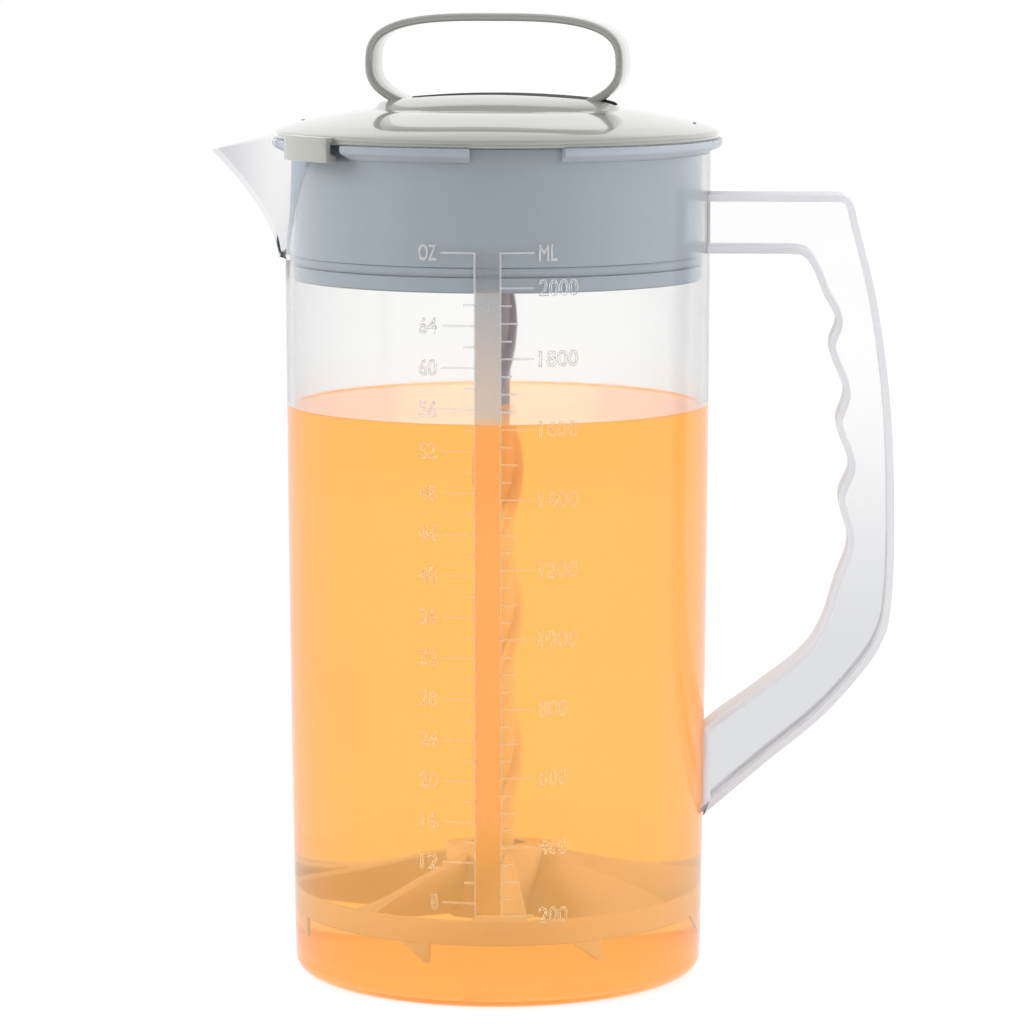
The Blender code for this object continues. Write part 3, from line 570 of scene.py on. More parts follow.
def jug_inside(top, grown=0):
    """The inside of the jug up to a level, made larger by a small overlap."""
    foot = jug_radius(0) - JUG_WALL + grown
    floor = JUG_FLOOR - grown
    profile = [(0, floor), *arc(foot - FOOT_FILLET, floor + FOOT_FILLET, FOOT_FILLET, -90, 0)]
    for ring in range(1, JUG_RINGS + 1):
        height = floor + FOOT_FILLET + (top - floor - FOOT_FILLET) * ring / JUG_RINGS
        profile.append((jug_radius(height) - JUG_WALL + grown, height))
    return profile


def make_lip_segments(material):
    """The lip, in segments between the four gaps that let the lid's tabs in."""
    face = JUG_HEIGHT - LIP_FACE
    edge = JUG_RADIUS + LIP_REACH
    profile = (
        (JUG_RADIUS - LIP_ROOT, LIP_TOP),
        (edge, LIP_TOP),
        (edge, face + LIP_ROUND),
        (edge - LIP_ROUND, face - LIP_ROUND),
        (JUG_RADIUS, face - LIP_SLOPE),
        (JUG_RADIUS - LIP_ROOT, face - LIP_SLOPE - LIP_ROOT),
    )
    gaps = sorted(angle % math.tau for tab in TAB_ANGLES for angle in (tab, tab + LID_TURN))
    shape = bmesh.new()
    for gap, following in zip(gaps, [*gaps[1:], gaps[0] + math.tau]):
        add_sector(shape, profile, gap + LIP_GAP_ANGLE / 2, following - LIP_GAP_ANGLE / 2)
    face_outwards(shape)
    round_edges(shape, LIP_ROUND)
    return dressed(finished("lip_segments", shape), material, "pitcher", "clear", "pitcher")


def beak_section(height, wall):
    """The beak's outline at one height: tangent to the jug, creased, then straight to its keel."""
    foot = JUG_HEIGHT - SPOUT_DEPTH
    share = max(0, (height - foot) / (SPOUT_DEPTH - SPOUT_TIP_DROP))
    keel = JUG_RADIUS + SPOUT_FOOT_REACH + (SPOUT_REACH - SPOUT_FOOT_REACH) * share**SPOUT_SWELL
    crease = Vector((-JUG_RADIUS - SPOUT_CREASE_REACH, SPOUT_CREASE_WIDTH * (share + SPOUT_ROOT)))
    lean = math.atan2(crease.y, -crease.x) + math.acos(min(1, jug_radius(height) / crease.length))
    root = Vector((-math.cos(lean), math.sin(lean))) * (jug_radius(height) - SPOUT_ROOT)
    half = [root * SPOUT_INSIDE_SHARE, root, crease]
    outline = [*half, Vector((-keel, 0)), *(Vector((point.x, -point.y)) for point in half[::-1])]
    return inset(outline, wall) if wall else outline


def inset(outline, distance):
    """The closed outline moved inwards, with mitred corners. The outline runs anticlockwise."""
    moved = []
    for index, corner in enumerate(outline):
        before = (corner - outline[index - 1]).normalized()
        after = (outline[(index + 1) % len(outline)] - corner).normalized()
        first, second = Vector((-before.y, before.x)), Vector((-after.y, after.x))
        moved.append(corner + (first + second) * distance / (1 + first.dot(second)))
    return moved


def beak(name, wall, low, high):
    """The beak's outside, or with a wall its inside, as a solid that runs from inside the jug."""
    rings = []
    for ring in range(SPOUT_RINGS + 1):
        height = low + (high - low) * ring / SPOUT_RINGS
        rings.append(ring_at(beak_section(height, wall), height))
    shrink = (JUG_RADIUS - JUG_WALL * 2) / (JUG_RADIUS + SPOUT_FOOT_REACH)
    lowest = [(x * shrink, y * shrink, z - SPOUT_FOOT_FILLET) for x, y, z in rings[0]]
    shape = bmesh.new()
    add_loft(shape, [lowest, *rings])
    return finished(name, shape)


def rim_cutter():
    """Takes off all that stands above the jug's rim and above the beak's sloping edge."""
    reach = JUG_RADIUS + HANDLE_REACH
    start = JUG_HEIGHT + SPOUT_RIM_RISE
    lip = COVER_RIM + TOUCH_GAP
    slope = (SPOUT_RIM_RISE + SPOUT_TIP_DROP) / (JUG_RADIUS + SPOUT_REACH - lip)
    top = JUG_HEIGHT + HANDLE_REACH
    outline = (
        (-reach, start - (reach - lip) * slope),
        (-lip, start),
        (-lip, JUG_HEIGHT),
        (reach, JUG_HEIGHT),
        (reach, top),
        (-reach, top),
    )
    shape = bmesh.new()
    add_prism(shape, outline, -reach, reach)
    return finished("rim_cutter", shape)


def turned(name, profile, closed=False, steps=TURN_STEPS):
    shape = bmesh.new()
    add_turned(shape, profile, closed, steps)
    return finished(name, shape)


def make_clear_jug(material, beak_material):
    """The jug with its beak, whose faces off the jug's own wall take the beak's plastic."""
    foot = JUG_HEIGHT - SPOUT_DEPTH
    top = JUG_HEIGHT + OVERRUN
    jug = turned("clear_jug", jug_outside())
    combine(jug, beak("beak", 0, foot, top), "UNION")
    combine(jug, rim_cutter(), "DIFFERENCE")
    hollow_top = top + OVERRUN
    combine(jug, turned("jug_hollow", [*jug_inside(hollow_top), (0, hollow_top)]), "DIFFERENCE")
    beak_hollow = beak("beak_hollow", SPOUT_WALL, foot + SPOUT_WALL, hollow_top)
    combine(jug, beak_hollow, "DIFFERENCE")
    dressed(jug, material, "pitcher", "clear", "pitcher")
    jug.data.materials.append(beak_material)
    for face in jug.data.polygons:
        along, across, height = face.center
        radius = math.hypot(along, across)
        wall_depth = jug_radius(height) - radius
        on_wall = min(abs(wall_depth), abs(wall_depth - JUG_WALL)) < HAIR
        on_beak = along < -radius / 2 and radius > SPOUT_ROOT_RADIUS and height > foot
        face.material_index = int(on_beak and not on_wall)
    return jug


def handle_outline():
    outer = [(JUG_RADIUS + x * HANDLE_REACH, z * HANDLE_TOP) for x, z in OUTER_EDGE_SHARES]
    grip = [(JUG_RADIUS + x * HANDLE_REACH, z * HANDLE_TOP) for x, z in GRIP_EDGE_SHARES]
    wall = JUG_RADIUS - HANDLE_FLANGE
    start, end = Vector((wall, HANDLE_TOP)), Vector((wall, grip[-1][1]))
    return [start, *smooth_line(outer), *smooth_line(grip), end]


def make_handle_flange(material):
    """The I-beam's flanges: the outline's band, with both inset middles taken out and joined."""
    shape = bmesh.new()
    sides = add_prism(shape, handle_outline(), -HANDLE_WIDTH / 2, HANDLE_WIDTH / 2)
    face_outwards(shape)
    bmesh.ops.inset_region(shape, faces=sides, thickness=HANDLE_FLANGE, use_even_offset=True)
    openings = [edge for side in sides for edge in side.edges]
    bmesh.ops.delete(shape, geom=sides, context="FACES_ONLY")
    bmesh.ops.bridge_loops(shape, edges=openings)
    face_outwards(shape)
    round_edges(shape, HANDLE_ROUND)
    bmesh.ops.remove_doubles(shape, verts=shape.verts, dist=HANDLE_MERGE)
    return dressed(finished("handle_flange", shape), material, "pitcher", "clear", "pitcher")


def make_handle_web(material):
    """The thin sheet between the flanges, which reaches a little into them."""
    shape = bmesh.new()
    sides = add_prism(shape, handle_outline(), -HANDLE_WEB / 2, HANDLE_WEB / 2)
    face_outwards(shape)
    bmesh.ops.inset_region(shape, faces=sides, thickness=HANDLE_WEB_INSET, use_even_offset=True)
    openings = [edge for side in sides for edge in side.edges]
    middle = {corner for side in sides for corner in side.verts}
    rim = [corner for corner in shape.verts if corner not in middle]
    bmesh.ops.delete(shape, geom=rim, context="VERTS")
    bmesh.ops.bridge_loops(shape, edges=openings)
    return dressed(finished("handle_web", shape), material, "pitcher", "clear", "pitcher")


# Scale


def mark_height(volume):
    """The height of a mark for this many millilitres."""
    return FIRST_MARK_HEIGHT + (volume - FIRST_MARK_VOLUME) * RISE_PER_ML


def add_tick(shape, side, reach, height):
    """A bar from the strip's edge out to one side."""
    near, far = sorted((side * STRIP_HALF_WIDTH, side * reach))
    add_block(
        shape,
        (near, -MARK_SINK, height - MARK_WIDTH / 2),
        (far, MARK_RISE, height + MARK_WIDTH / 2),
        cuts=BEND_CUTS,
    )


def add_label(shape, words, side, height, filled=False):
    """Raised characters that start or end beside the ticks: fine outlines, or filled."""
    curve = bpy.data.curves.new(words, "FONT")
    curve.body = words
    curve.size = DIGIT_HEIGHT
    curve.resolution_u = FONT_STEPS
    curve.fill_mode = "BOTH" if filled else "NONE"
    curve.bevel_depth = LABEL_LINE / 2
    curve.bevel_resolution = 0
    text = new_object(words, curve)
    graph = bpy.context.evaluated_depsgraph_get()
    mesh = bpy.data.meshes.new_from_object(text.evaluated_get(graph))
    bpy.data.objects.remove(text)
    before = set(shape.verts)
    shape.from_mesh(mesh)
    letters = [corner for corner in shape.verts if corner not in before]
    lowest = Vector([min(corner.co[axis] for corner in letters) for axis in range(3)])
    highest = Vector([max(corner.co[axis] for corner in letters) for axis in range(3)])
    width = DIGIT_PITCH * (len(words) - 1) + DIGIT_WIDTH
    start = LABEL_START if side > 0 else -LABEL_START - width
    for corner in letters:
        share = (corner.co.x - lowest.x) / (highest.x - lowest.x)
        rise = (corner.co.y - lowest.y) / (highest.y - lowest.y) - 0.5
        corner.co = (start + width * share, corner.co.z, height + DIGIT_HEIGHT * rise)


def bend_onto_wall(shape):
    """Wraps (along, outwards, height) points round the jug's wall."""
    for corner in shape.verts:
        along, out, height = corner.co
        radius = jug_radius(height)
        corner.co = around(radius + out, along / radius, height)


def make_volume_scale(material):
    shape = bmesh.new()
    for side in (-1, 1):
        edge = side * STRIP_HALF_WIDTH
        add_block(
            shape,
            (edge - MARK_WIDTH / 2, -MARK_SINK, STRIP_FOOT),
            (edge + MARK_WIDTH / 2, MARK_RISE, STRIP_TOP),
        )
        add_tick(shape, side, TICK_LONG, STRIP_TOP)
    for volume in VOLUMES:
        reach = TICK_SHORT if volume % (LABELLED_VOLUME / 2) else TICK_MIDDLE
        if volume % LABELLED_VOLUME == 0:
            reach = TICK_LONG
            add_label(shape, str(volume), 1, mark_height(volume))
        add_tick(shape, 1, reach, mark_height(volume))
    for ounces in OUNCES:
        height = mark_height(ounces * ML_PER_OUNCE)
        reach = TICK_SHORT if ounces % LABELLED_OUNCES else TICK_LONG
        add_tick(shape, -1, reach, height)
        if reach == TICK_LONG:
            add_label(shape, str(ounces), -1, height)
    add_label(shape, "OZ", -1, STRIP_TOP, filled=True)
    add_label(shape, "ML", 1, STRIP_TOP, filled=True)
    bend_onto_wall(shape)
    return dressed(finished("volume_scale", shape), material, "pitcher", "clear")


def make_scale_strip(material):
    """The finely grained band that the scale's ticks stand on."""
    shape = bmesh.new()
    add_block(
        shape,
        (-STRIP_HALF_WIDTH, -MARK_SINK, STRIP_FOOT),
        (STRIP_HALF_WIDTH, STRIP_RISE, STRIP_TOP),
        cuts=BEND_CUTS,
    )
    bend_onto_wall(shape)
    return dressed(finished("scale_strip", shape), material, "pitcher", "clear")


# Drink


def make_drink(material):
    """The drink reaches a hair into the wall, so that no air shows between them."""
    top = DRINK_LEVEL + DRINK_MENISCUS
    profile = jug_inside(top, DRINK_OVERLAP)
    wall = profile[-1][0]
    profile += [
        (wall - DRINK_MENISCUS / 2, DRINK_LEVEL + DRINK_MENISCUS / 4),
        (wall - DRINK_MENISCUS * 2, DRINK_LEVEL),
        (wall - DRINK_MENISCUS * 3, DRINK_LEVEL),
        (0, DRINK_LEVEL),
    ]
    return dressed(turned("orange_drink", profile), material, "pitcher", "clear")


# Lid


def cover_profile():
    """Dome, two beads round the rim, the spigot that stands in the skirt, and the nut's boss."""
    spigot = skirt_radius() - SKIRT_WALL - TOUCH_GAP
    spigot_foot = COVER_SEAT - SPIGOT_DEPTH
    bore = NUT_RADIUS + TOUCH_GAP
    boss_bottom = COVER_UNDERSIDE - NUT_HEIGHT
    upper = COVER_SEAT + COVER_RIM_HEIGHT - UPPER_BEAD
    lower = COVER_SEAT + LOWER_BEAD
    dome = smooth_line([(radius, COVER_SEAT + rise) for radius, rise in DOME_POINTS], 4)
    return [
        (0, dome[0].y),
        *((point.x, point.y) for point in dome[1:]),
        *arc(COVER_RIM - UPPER_BEAD, upper, UPPER_BEAD, 80, -50),
        *arc(COVER_RIM - LOWER_BEAD_STEP, lower, LOWER_BEAD, 40, -90),
        (spigot, COVER_SEAT),
        (spigot, spigot_foot),
        (spigot - SPIGOT_WALL, spigot_foot),
        (spigot - SPIGOT_WALL, COVER_UNDERSIDE),
        (bore + BOSS_WALL, COVER_UNDERSIDE),
        (bore + BOSS_WALL, boss_bottom),
        (bore, boss_bottom),
        (bore, COVER_UNDERSIDE),
        (0, COVER_UNDERSIDE),
    ]


def mound_height(point, share):
    """The swelling sags towards its ends."""
    return COVER_SEAT + (MOUND_RISE - MOUND_SAG * (point.x / MOUND_LENGTH) ** 2) * share


def mound():
    """The oval swelling that the loop handle sinks into, lower at its ends."""
    low = COVER_UNDERSIDE + COVER_PLATE / 2
    rings = [ring_at(superellipse(MOUND_LENGTH, MOUND_WIDTH, MOUND_EXPONENT), low)]
    cap = (WELL_LENGTH * MOUND_CAP_SHARE, WELL_WIDTH * MOUND_CAP_SHARE, 1)
    levels = [
        (MOUND_LENGTH * length, MOUND_WIDTH * width, rise)
        for length, width, rise in smooth_line(MOUND_RING_SHARES, 3)
    ]
    for length, width, rise in (*levels, cap):
        outline = superellipse(length, width, MOUND_EXPONENT)
        rings.append([(point.x, point.y, mound_height(point, rise)) for point in outline])
    shape = bmesh.new()
    add_loft(shape, rings)
    turn_about_z(shape, LOOP_ANGLE)
    return finished("mound", shape)


def well():
    """The pit round the loop handle's foot, with a small round at its floor."""
    rings = []
    for inwards, height in (
        (WELL_ROUND, WELL_FLOOR),
        (WELL_ROUND * 0.3, WELL_FLOOR + WELL_ROUND * 0.3),
        (0, WELL_FLOOR + WELL_ROUND),
        (0, COVER_SEAT + MOUND_RISE + OVERRUN),
    ):
        outline = superellipse(WELL_LENGTH - inwards, WELL_WIDTH - inwards, WELL_EXPONENT)
        rings.append(ring_at(outline, height))
    shape = bmesh.new()
    add_loft(shape, rings)
    turn_about_z(shape, LOOP_ANGLE)
    return finished("well", shape)


def tabs():
    """Two hooks that hang from the cover's rim and turn in under the jug's lip."""
    lip = JUG_RADIUS + LIP_REACH
    inside = lip + TOUCH_GAP
    hook = JUG_RADIUS + TAB_HOOK
    face = JUG_HEIGHT - LIP_FACE - TOUCH_GAP
    slope = LIP_SLOPE / LIP_REACH
    bridge = COVER_SEAT + LIP_ROUND
    profile = (
        (JUG_RADIUS, COVER_SEAT + TAB_TOP),
        (JUG_RADIUS, bridge),
        (inside, bridge),
        (inside, face),
        (hook, face - (inside - hook) * slope),
        (hook, JUG_HEIGHT - TAB_DEPTH),
        (inside + TAB_WALL, JUG_HEIGHT - TAB_DEPTH),
        (inside + TAB_WALL, COVER_SEAT + TAB_TOP),
    )
    shape = bmesh.new()
    for angle in TAB_ANGLES:
        add_sector(shape, profile, angle - TAB_ANGLE / 2, angle + TAB_ANGLE / 2)
    face_outwards(shape)
    round_edges(shape, TAB_ROUND)
    return finished("tabs", shape)


def pips():
    """Two small raised marks on the dome, in line with the loop."""
    shape = bmesh.new()
    height = COVER_SEAT + DOME_POINTS[-2][1]
    for along in (-PIP_RADIUS, PIP_RADIUS):
        ball = bmesh.ops.create_uvsphere(
            shape, u_segments=20, v_segments=12, radius=PIP_LENGTH / 2
        )["verts"]
        bmesh.ops.scale(shape, verts=ball, vec=(0.5, 1, PIP_RISE * 2 / PIP_LENGTH))
        bmesh.ops.translate(shape, verts=ball, vec=(along, 0, height))
    turn_about_z(shape, LOOP_ANGLE)
    return finished("pips", shape)


def make_lid_cover(material):
    cover = turned("lid_dome", cover_profile())
    combine(cover, mound(), "UNION")
    combine(cover, well(), "DIFFERENCE")
    drill(cover, SHAFT_HOLE, COVER_UNDERSIDE - OVERRUN, WELL_FLOOR + OVERRUN)
    combine(cover, tabs(), "UNION")
    combine(cover, pips(), "UNION")
    return dressed(cover, material, "lid", "warm_grey", "lid_cover")


def make_lid_skirt(material):
    """A deep collar with a groove for the seal and a grid of pouring slots."""
    outside = skirt_radius()
    inside = outside - SKIRT_WALL
    band = outside - SKIRT_BAND_WALL
    groove = outside - SEAL_THICK
    band_top = SEAL_BOTTOM + SEAL_WIDTH + BAND_MARGIN
    groove_low = SEAL_BOTTOM - HAIR
    groove_high = SEAL_BOTTOM + SEAL_WIDTH + HAIR
    profile = (
        (outside, JUG_HEIGHT),
        (outside, groove_high),
        (groove, groove_high),
        (groove, groove_low),
        (outside, groove_low),
        (outside, SKIRT_BOTTOM + SKIRT_ROUND),
        (outside - SKIRT_ROUND, SKIRT_BOTTOM),
        (inside, SKIRT_BOTTOM),
        (band, SKIRT_BOTTOM + BAND_MARGIN),
        (band, band_top),
        (inside, band_top + BAND_MARGIN),
        (inside, JUG_HEIGHT),
    )
    skirt = turned("deep_skirt", profile, closed=True)
    shape = bmesh.new()
    low = SKIRT_BOTTOM + WINDOW_FLOOR
    near = (-WINDOW_SLOT_WIDTH / 2, -outside - OVERRUN, low)
    far = (WINDOW_SLOT_WIDTH / 2, -inside + OVERRUN, low + WINDOW_HEIGHT)
    for slot in range(WINDOW_SLOTS):
        angle = WINDOW_ANGLE + (slot - (WINDOW_SLOTS - 1) / 2) * WINDOW_PITCH
        made = add_block(shape, near, far)
        turn_about_z(shape, angle, made)
    combine(skirt, finished("pouring_slots", shape), "DIFFERENCE")
    return dressed(skirt, material, "lid", "blue_grey", "lid_skirt")


def make_skirt_seal(material):
    """A rubber ring that stands a little proud of the skirt."""
    outside = jug_radius(SEAL_BOTTOM) - JUG_WALL - SEAL_GAP
    inside = skirt_radius() - SEAL_THICK + TOUCH_GAP
    crown = SEAL_WIDTH / 2
    profile = [(inside, SEAL_BOTTOM + SEAL_WIDTH), (inside, SEAL_BOTTOM)]
    for out, up in arc(0, 0, 1, -75, 75, 10):
        profile.append((inside + (outside - inside) * out, SEAL_BOTTOM + crown * (1 + up)))
    seal = turned("seal_ring", profile, closed=True)
    return dressed(seal, material, "seal", "seal", "skirt_seal")


# Plunger and agitator


def make_loop_handle(material):
    """A ribbon bent into a long loop, with rounded edges and a hole for the swivel screw."""
    middle = LOOP_BOTTOM + LOOP_HEIGHT
    upper = superellipse(LOOP_LENGTH, LOOP_HEIGHT, LOOP_TOP_EXPONENT, LOOP_STEPS)
    lower = superellipse(LOOP_LENGTH, LOOP_HEIGHT, LOOP_FOOT_EXPONENT, LOOP_STEPS)
    outline = [high if high.y > 0 else low for high, low in zip(upper, lower)]
    shape = bmesh.new()
    edges = add_line(shape, [(point.x, -LOOP_WIDTH / 2, middle + point.y) for point in outline])
    grown = bmesh.ops.extrude_edge_only(shape, edges=edges)["geom"]
    moved = [item for item in grown if isinstance(item, bmesh.types.BMVert)]
    bmesh.ops.translate(shape, verts=moved, vec=(0, LOOP_WIDTH, 0))
    face_outwards(shape)
    bmesh.ops.solidify(shape, geom=shape.faces[:], thickness=LOOP_THICK)
    face_outwards(shape)
    round_edges(shape, LOOP_ROUND, 3)
    turn_about_z(shape, LOOP_ANGLE)
    loop = finished("loop_handle", shape)
    drill(loop, HUB_HOLE, LOOP_BOTTOM - OVERRUN, middle)
    return dressed(loop, material, "handle", "warm_grey", "plunger_handle")


def shaft_section():
    """Core and two round-tipped fins, anticlockwise."""
    half = SHAFT_FIN_WIDTH / 2
    root = math.asin(half / SHAFT_CORE)
    points = []
    for side in (0, math.pi):
        turn = Matrix.Rotation(side, 2)
        for x, y in arc(SHAFT_FIN - half, 0, half, -90, 90, 6):
            points.append(turn @ Vector((x, y)))
        for step in range(7):
            angle = root + (math.pi - 2 * root) * step / 6
            points.append(turn @ Vector((math.cos(angle), math.sin(angle))) * SHAFT_CORE)
    return points


def make_twisted_shaft(material):
    turn = math.tau * (SHAFT_TOP - SHAFT_BOTTOM) / SHAFT_LEAD
    steps = math.ceil(turn / TWIST_STEP)
    start = Matrix.Rotation(math.tau * (SHAFT_BOTTOM - SHAFT_FINS_ACROSS) / SHAFT_LEAD, 2)
    shape = bmesh.new()
    outline = [start @ point for point in shaft_section()]
    face = shape.faces.new([shape.verts.new(point) for point in ring_at(outline, SHAFT_BOTTOM)])
    bmesh.ops.spin(
        shape, geom=[face, *face.edges, *face.verts], axis=(0, 0, 1), angle=turn, steps=steps,
        dvec=(0, 0, (SHAFT_TOP - SHAFT_BOTTOM) / steps),
    )
    shaft = finished("twisted_shaft", shape)
    return dressed(shaft, material, "mixer", "shaft_grey", "spiral_shaft")


def add_ring(shape):
    """The agitator's rim with rounded edges."""
    inside = RING_RADIUS - RING_WALL
    top = RING_BOTTOM + RING_HEIGHT
    profile = [
        *arc(RING_RADIUS - RING_ROUND, top - RING_ROUND, RING_ROUND, 0, 90, 3),
        *arc(inside + RING_ROUND, top - RING_ROUND, RING_ROUND, 90, 180, 3),
        *arc(inside + RING_ROUND, RING_BOTTOM + RING_ROUND, RING_ROUND, 180, 270, 3),
        *arc(RING_RADIUS - RING_ROUND, RING_BOTTOM + RING_ROUND, RING_ROUND, 270, 360, 3),
    ]
    add_turned(shape, profile, closed=True)


def add_hub(shape):
    """A cup with a bore for the shaft and a hole for the agitator's screw."""
    profile = [
        (HUB_BORE, HUB_TOP),
        *arc(HUB_RADIUS - RING_ROUND, HUB_TOP - RING_ROUND, RING_ROUND, 90, 0, 3),
        *arc(HUB_RADIUS - RING_ROUND, HUB_BOTTOM + RING_ROUND, RING_ROUND, 0, -90, 3),
        (HUB_HOLE, HUB_BOTTOM),
        (HUB_HOLE, HUB_FLOOR),
        (HUB_BORE, HUB_FLOOR),
    ]
    add_turned(shape, profile, closed=True, steps=SMALL_TURN_STEPS)


def blade_point(outward, down):
    """A point of a blade's sheet, from hub to ring and from its top edge to its foot."""
    hub = HUB_RADIUS - BLADE_THICK
    radius = hub + (RING_RADIUS - RING_WALL / 2 - hub) * outward
    ring_top = RING_BOTTOM + RING_HEIGHT - BLADE_FOOT
    top = HUB_TOP - BLADE_FOOT + (ring_top - HUB_TOP + BLADE_FOOT) * outward
    foot = HUB_BOTTOM + BLADE_FOOT + (RING_BOTTOM - HUB_BOTTOM) * outward
    return around(radius, FIRST_BLADE_ANGLE + BLADE_SWEEP * down, top + (foot - top) * down)


def add_repeated(shape, made):
    """Puts a part into the shape once for each blade, evenly round the axis."""
    face_outwards(made)
    mesh = bpy.data.meshes.new("repeat")
    made.to_mesh(mesh)
    made.free()
    for copy in range(BLADE_COUNT):
        before = set(shape.verts)
        shape.from_mesh(mesh)
        added = [corner for corner in shape.verts if corner not in before]
        turn_about_z(shape, math.tau * copy / BLADE_COUNT, added)
    bpy.data.meshes.remove(mesh)


def blade():
    """One sloping vane: a grid bent to the blade's sheet, given its thickness and round edges."""
    made = bmesh.new()
    bmesh.ops.create_grid(made, x_segments=BLADE_STEPS, y_segments=BLADE_STEPS, size=0.5)
    for corner in made.verts:
        corner.co = blade_point(corner.co.x + 0.5, 0.5 - corner.co.y)
    face_outwards(made)
    bmesh.ops.solidify(made, geom=made.faces[:], thickness=BLADE_THICK)
    face_outwards(made)
    round_edges(made, BLADE_THICK / 4)
    return made


def tooth():
    """One saw tooth, upright on one side and slanted on the other."""
    made = bmesh.new()
    root = RING_BOTTOM + BLADE_FOOT
    tip = RING_BOTTOM - TOOTH_HEIGHT
    corners = ((-TOOTH_ANGLE, root), (0, root), (0, tip), (-TOOTH_TIP_ANGLE, tip))
    rings = []
    for radius in (RING_RADIUS - RING_WALL, RING_RADIUS - MERGE):
        rings.append([around(radius, FIRST_TOOTH_ANGLE + turn, height) for turn, height in corners])
    add_loft(made, rings)
    face_outwards(made)
    round_edges(made, RING_ROUND / 2)
    return made


def make_agitator(material):
    shape = bmesh.new()
    add_ring(shape)
    add_hub(shape)
    add_repeated(shape, blade())
    add_repeated(shape, tooth())
    return dressed(finished("bladed_agitator", shape), material, "mixer", "white", "agitator")


# Materials


def link(tree, source, target):
    tree.links.new(source, target)


def fill(tree, socket, value):
    """Links a socket to another one, or sets its number or its red, green and blue."""
    if isinstance(value, bpy.types.NodeSocket):
        link(tree, value, socket)
    else:
        socket.default_value = (*value, 1) if isinstance(value, tuple) else value


def set_values(node, **values):
    """Sets a node's inputs by their names, with _ for each space."""
    for name, value in values.items():
        node.inputs[name.replace("_", " ")].default_value = value


def math_node(tree, operation, *values):
    """A Math node whose inputs are sockets or numbers; gives back its output."""
    node = tree.nodes.new("ShaderNodeMath")
    node.operation = operation
    for socket, value in zip(node.inputs, values):
        fill(tree, socket, value)
    return node.outputs[0]


def mix_colours(tree, share, first, second):
    """A colour between two, by a share; each may be a socket or a value."""
    node = tree.nodes.new("ShaderNodeMix")
    node.data_type = "RGBA"
    for index, value in ((0, share), (6, first), (7, second)):
        fill(tree, node.inputs[index], value)
    return node.outputs[2]


def ramp(tree, value, low, high):
    """0 at one value and 1 at another, smooth between."""
    node = tree.nodes.new("ShaderNodeMapRange")
    node.interpolation_type = "SMOOTHSTEP"
    link(tree, value, node.inputs["Value"])
    set_values(node, From_Min=low, From_Max=high)
    return node.outputs["Result"]


def place_on_piece(tree):
    """Object coordinates: the whole vector, and its X, Y and Z."""
    place = tree.nodes.new("ShaderNodeTexCoord").outputs["Object"]
    split = tree.nodes.new("ShaderNodeSeparateXYZ")
    link(tree, place, split.inputs[0])
    return place, *split.outputs


def noise(tree, coordinates, scale, detail=CLOUD_DETAIL):
    node = tree.nodes.new("ShaderNodeTexNoise")
    fill(tree, node.inputs["Scale"], scale)
    set_values(node, Detail=detail)
    link(tree, coordinates, node.inputs["Vector"])
    return node.outputs["Fac"]


def moulded_group():
    """Moulded plastic: faint flow clouds in the colour, uneven gloss and a fine grain."""
    group = bpy.data.node_groups.new("moulded_plastic", "ShaderNodeTree")
    for name, direction, kind in (
        ("Colour", "INPUT", "NodeSocketColor"),
        ("Gloss Roughness", "INPUT", "NodeSocketFloat"),
        ("Cloud Strength", "INPUT", "NodeSocketFloat"),
        ("Grain Scale", "INPUT", "NodeSocketFloat"),
        ("Colour", "OUTPUT", "NodeSocketColor"),
        ("Roughness", "OUTPUT", "NodeSocketFloat"),
        ("Height", "OUTPUT", "NodeSocketFloat"),
    ):
        group.interface.new_socket(name, in_out=direction, socket_type=kind)
    start = group.nodes.new("NodeGroupInput")
    end = group.nodes.new("NodeGroupOutput")
    place = group.nodes.new("ShaderNodeTexCoord").outputs["Object"]
    cloud = noise(group, place, CLOUD_SCALE)
    share = math_node(group, "MULTIPLY", cloud, start.outputs["Cloud Strength"])
    link(group, mix_colours(group, share, start.outputs["Colour"], BLACK), end.inputs["Colour"])
    smear = noise(group, place, SMEAR_SCALE)
    gloss = start.outputs["Gloss Roughness"]
    uneven = math_node(group, "MULTIPLY_ADD", smear, SMEAR_STRENGTH, gloss)
    link(group, uneven, end.inputs["Roughness"])
    grain = noise(group, place, start.outputs["Grain Scale"], GRAIN_DETAIL)
    link(group, grain, end.inputs["Height"])
    return group


def new_material(name):
    made = bpy.data.materials.new(name)
    made.use_nodes = True
    return made, made.node_tree, made.node_tree.nodes["Principled BSDF"]


def tinted(tree, tint):
    """A plain colour, or two tints that blend between two places along an axis of the piece."""
    if len(tint) == 3:
        return tint
    axis, low, high, first, second = tint
    share = ramp(tree, place_on_piece(tree)[axis], low, high)
    return mix_colours(tree, share, tinted(tree, first), tinted(tree, second))


def add_effect(tree, shader, group, tint, finish):
    """Puts the moulded effect into a material and gives back its clouded colour."""
    roughness, cloud, grain, bump = finish
    effect = tree.nodes.new("ShaderNodeGroup")
    effect.node_tree = group
    fill(tree, effect.inputs["Colour"], tinted(tree, tint))
    set_values(effect, Gloss_Roughness=roughness, Cloud_Strength=cloud, Grain_Scale=grain)
    link(tree, effect.outputs["Roughness"], shader.inputs["Roughness"])
    raised = tree.nodes.new("ShaderNodeBump")
    set_values(raised, Strength=bump, Distance=GRAIN_DEPTH)
    link(tree, effect.outputs["Height"], raised.inputs["Height"])
    link(tree, raised.outputs["Normal"], shader.inputs["Normal"])
    return effect.outputs["Colour"]


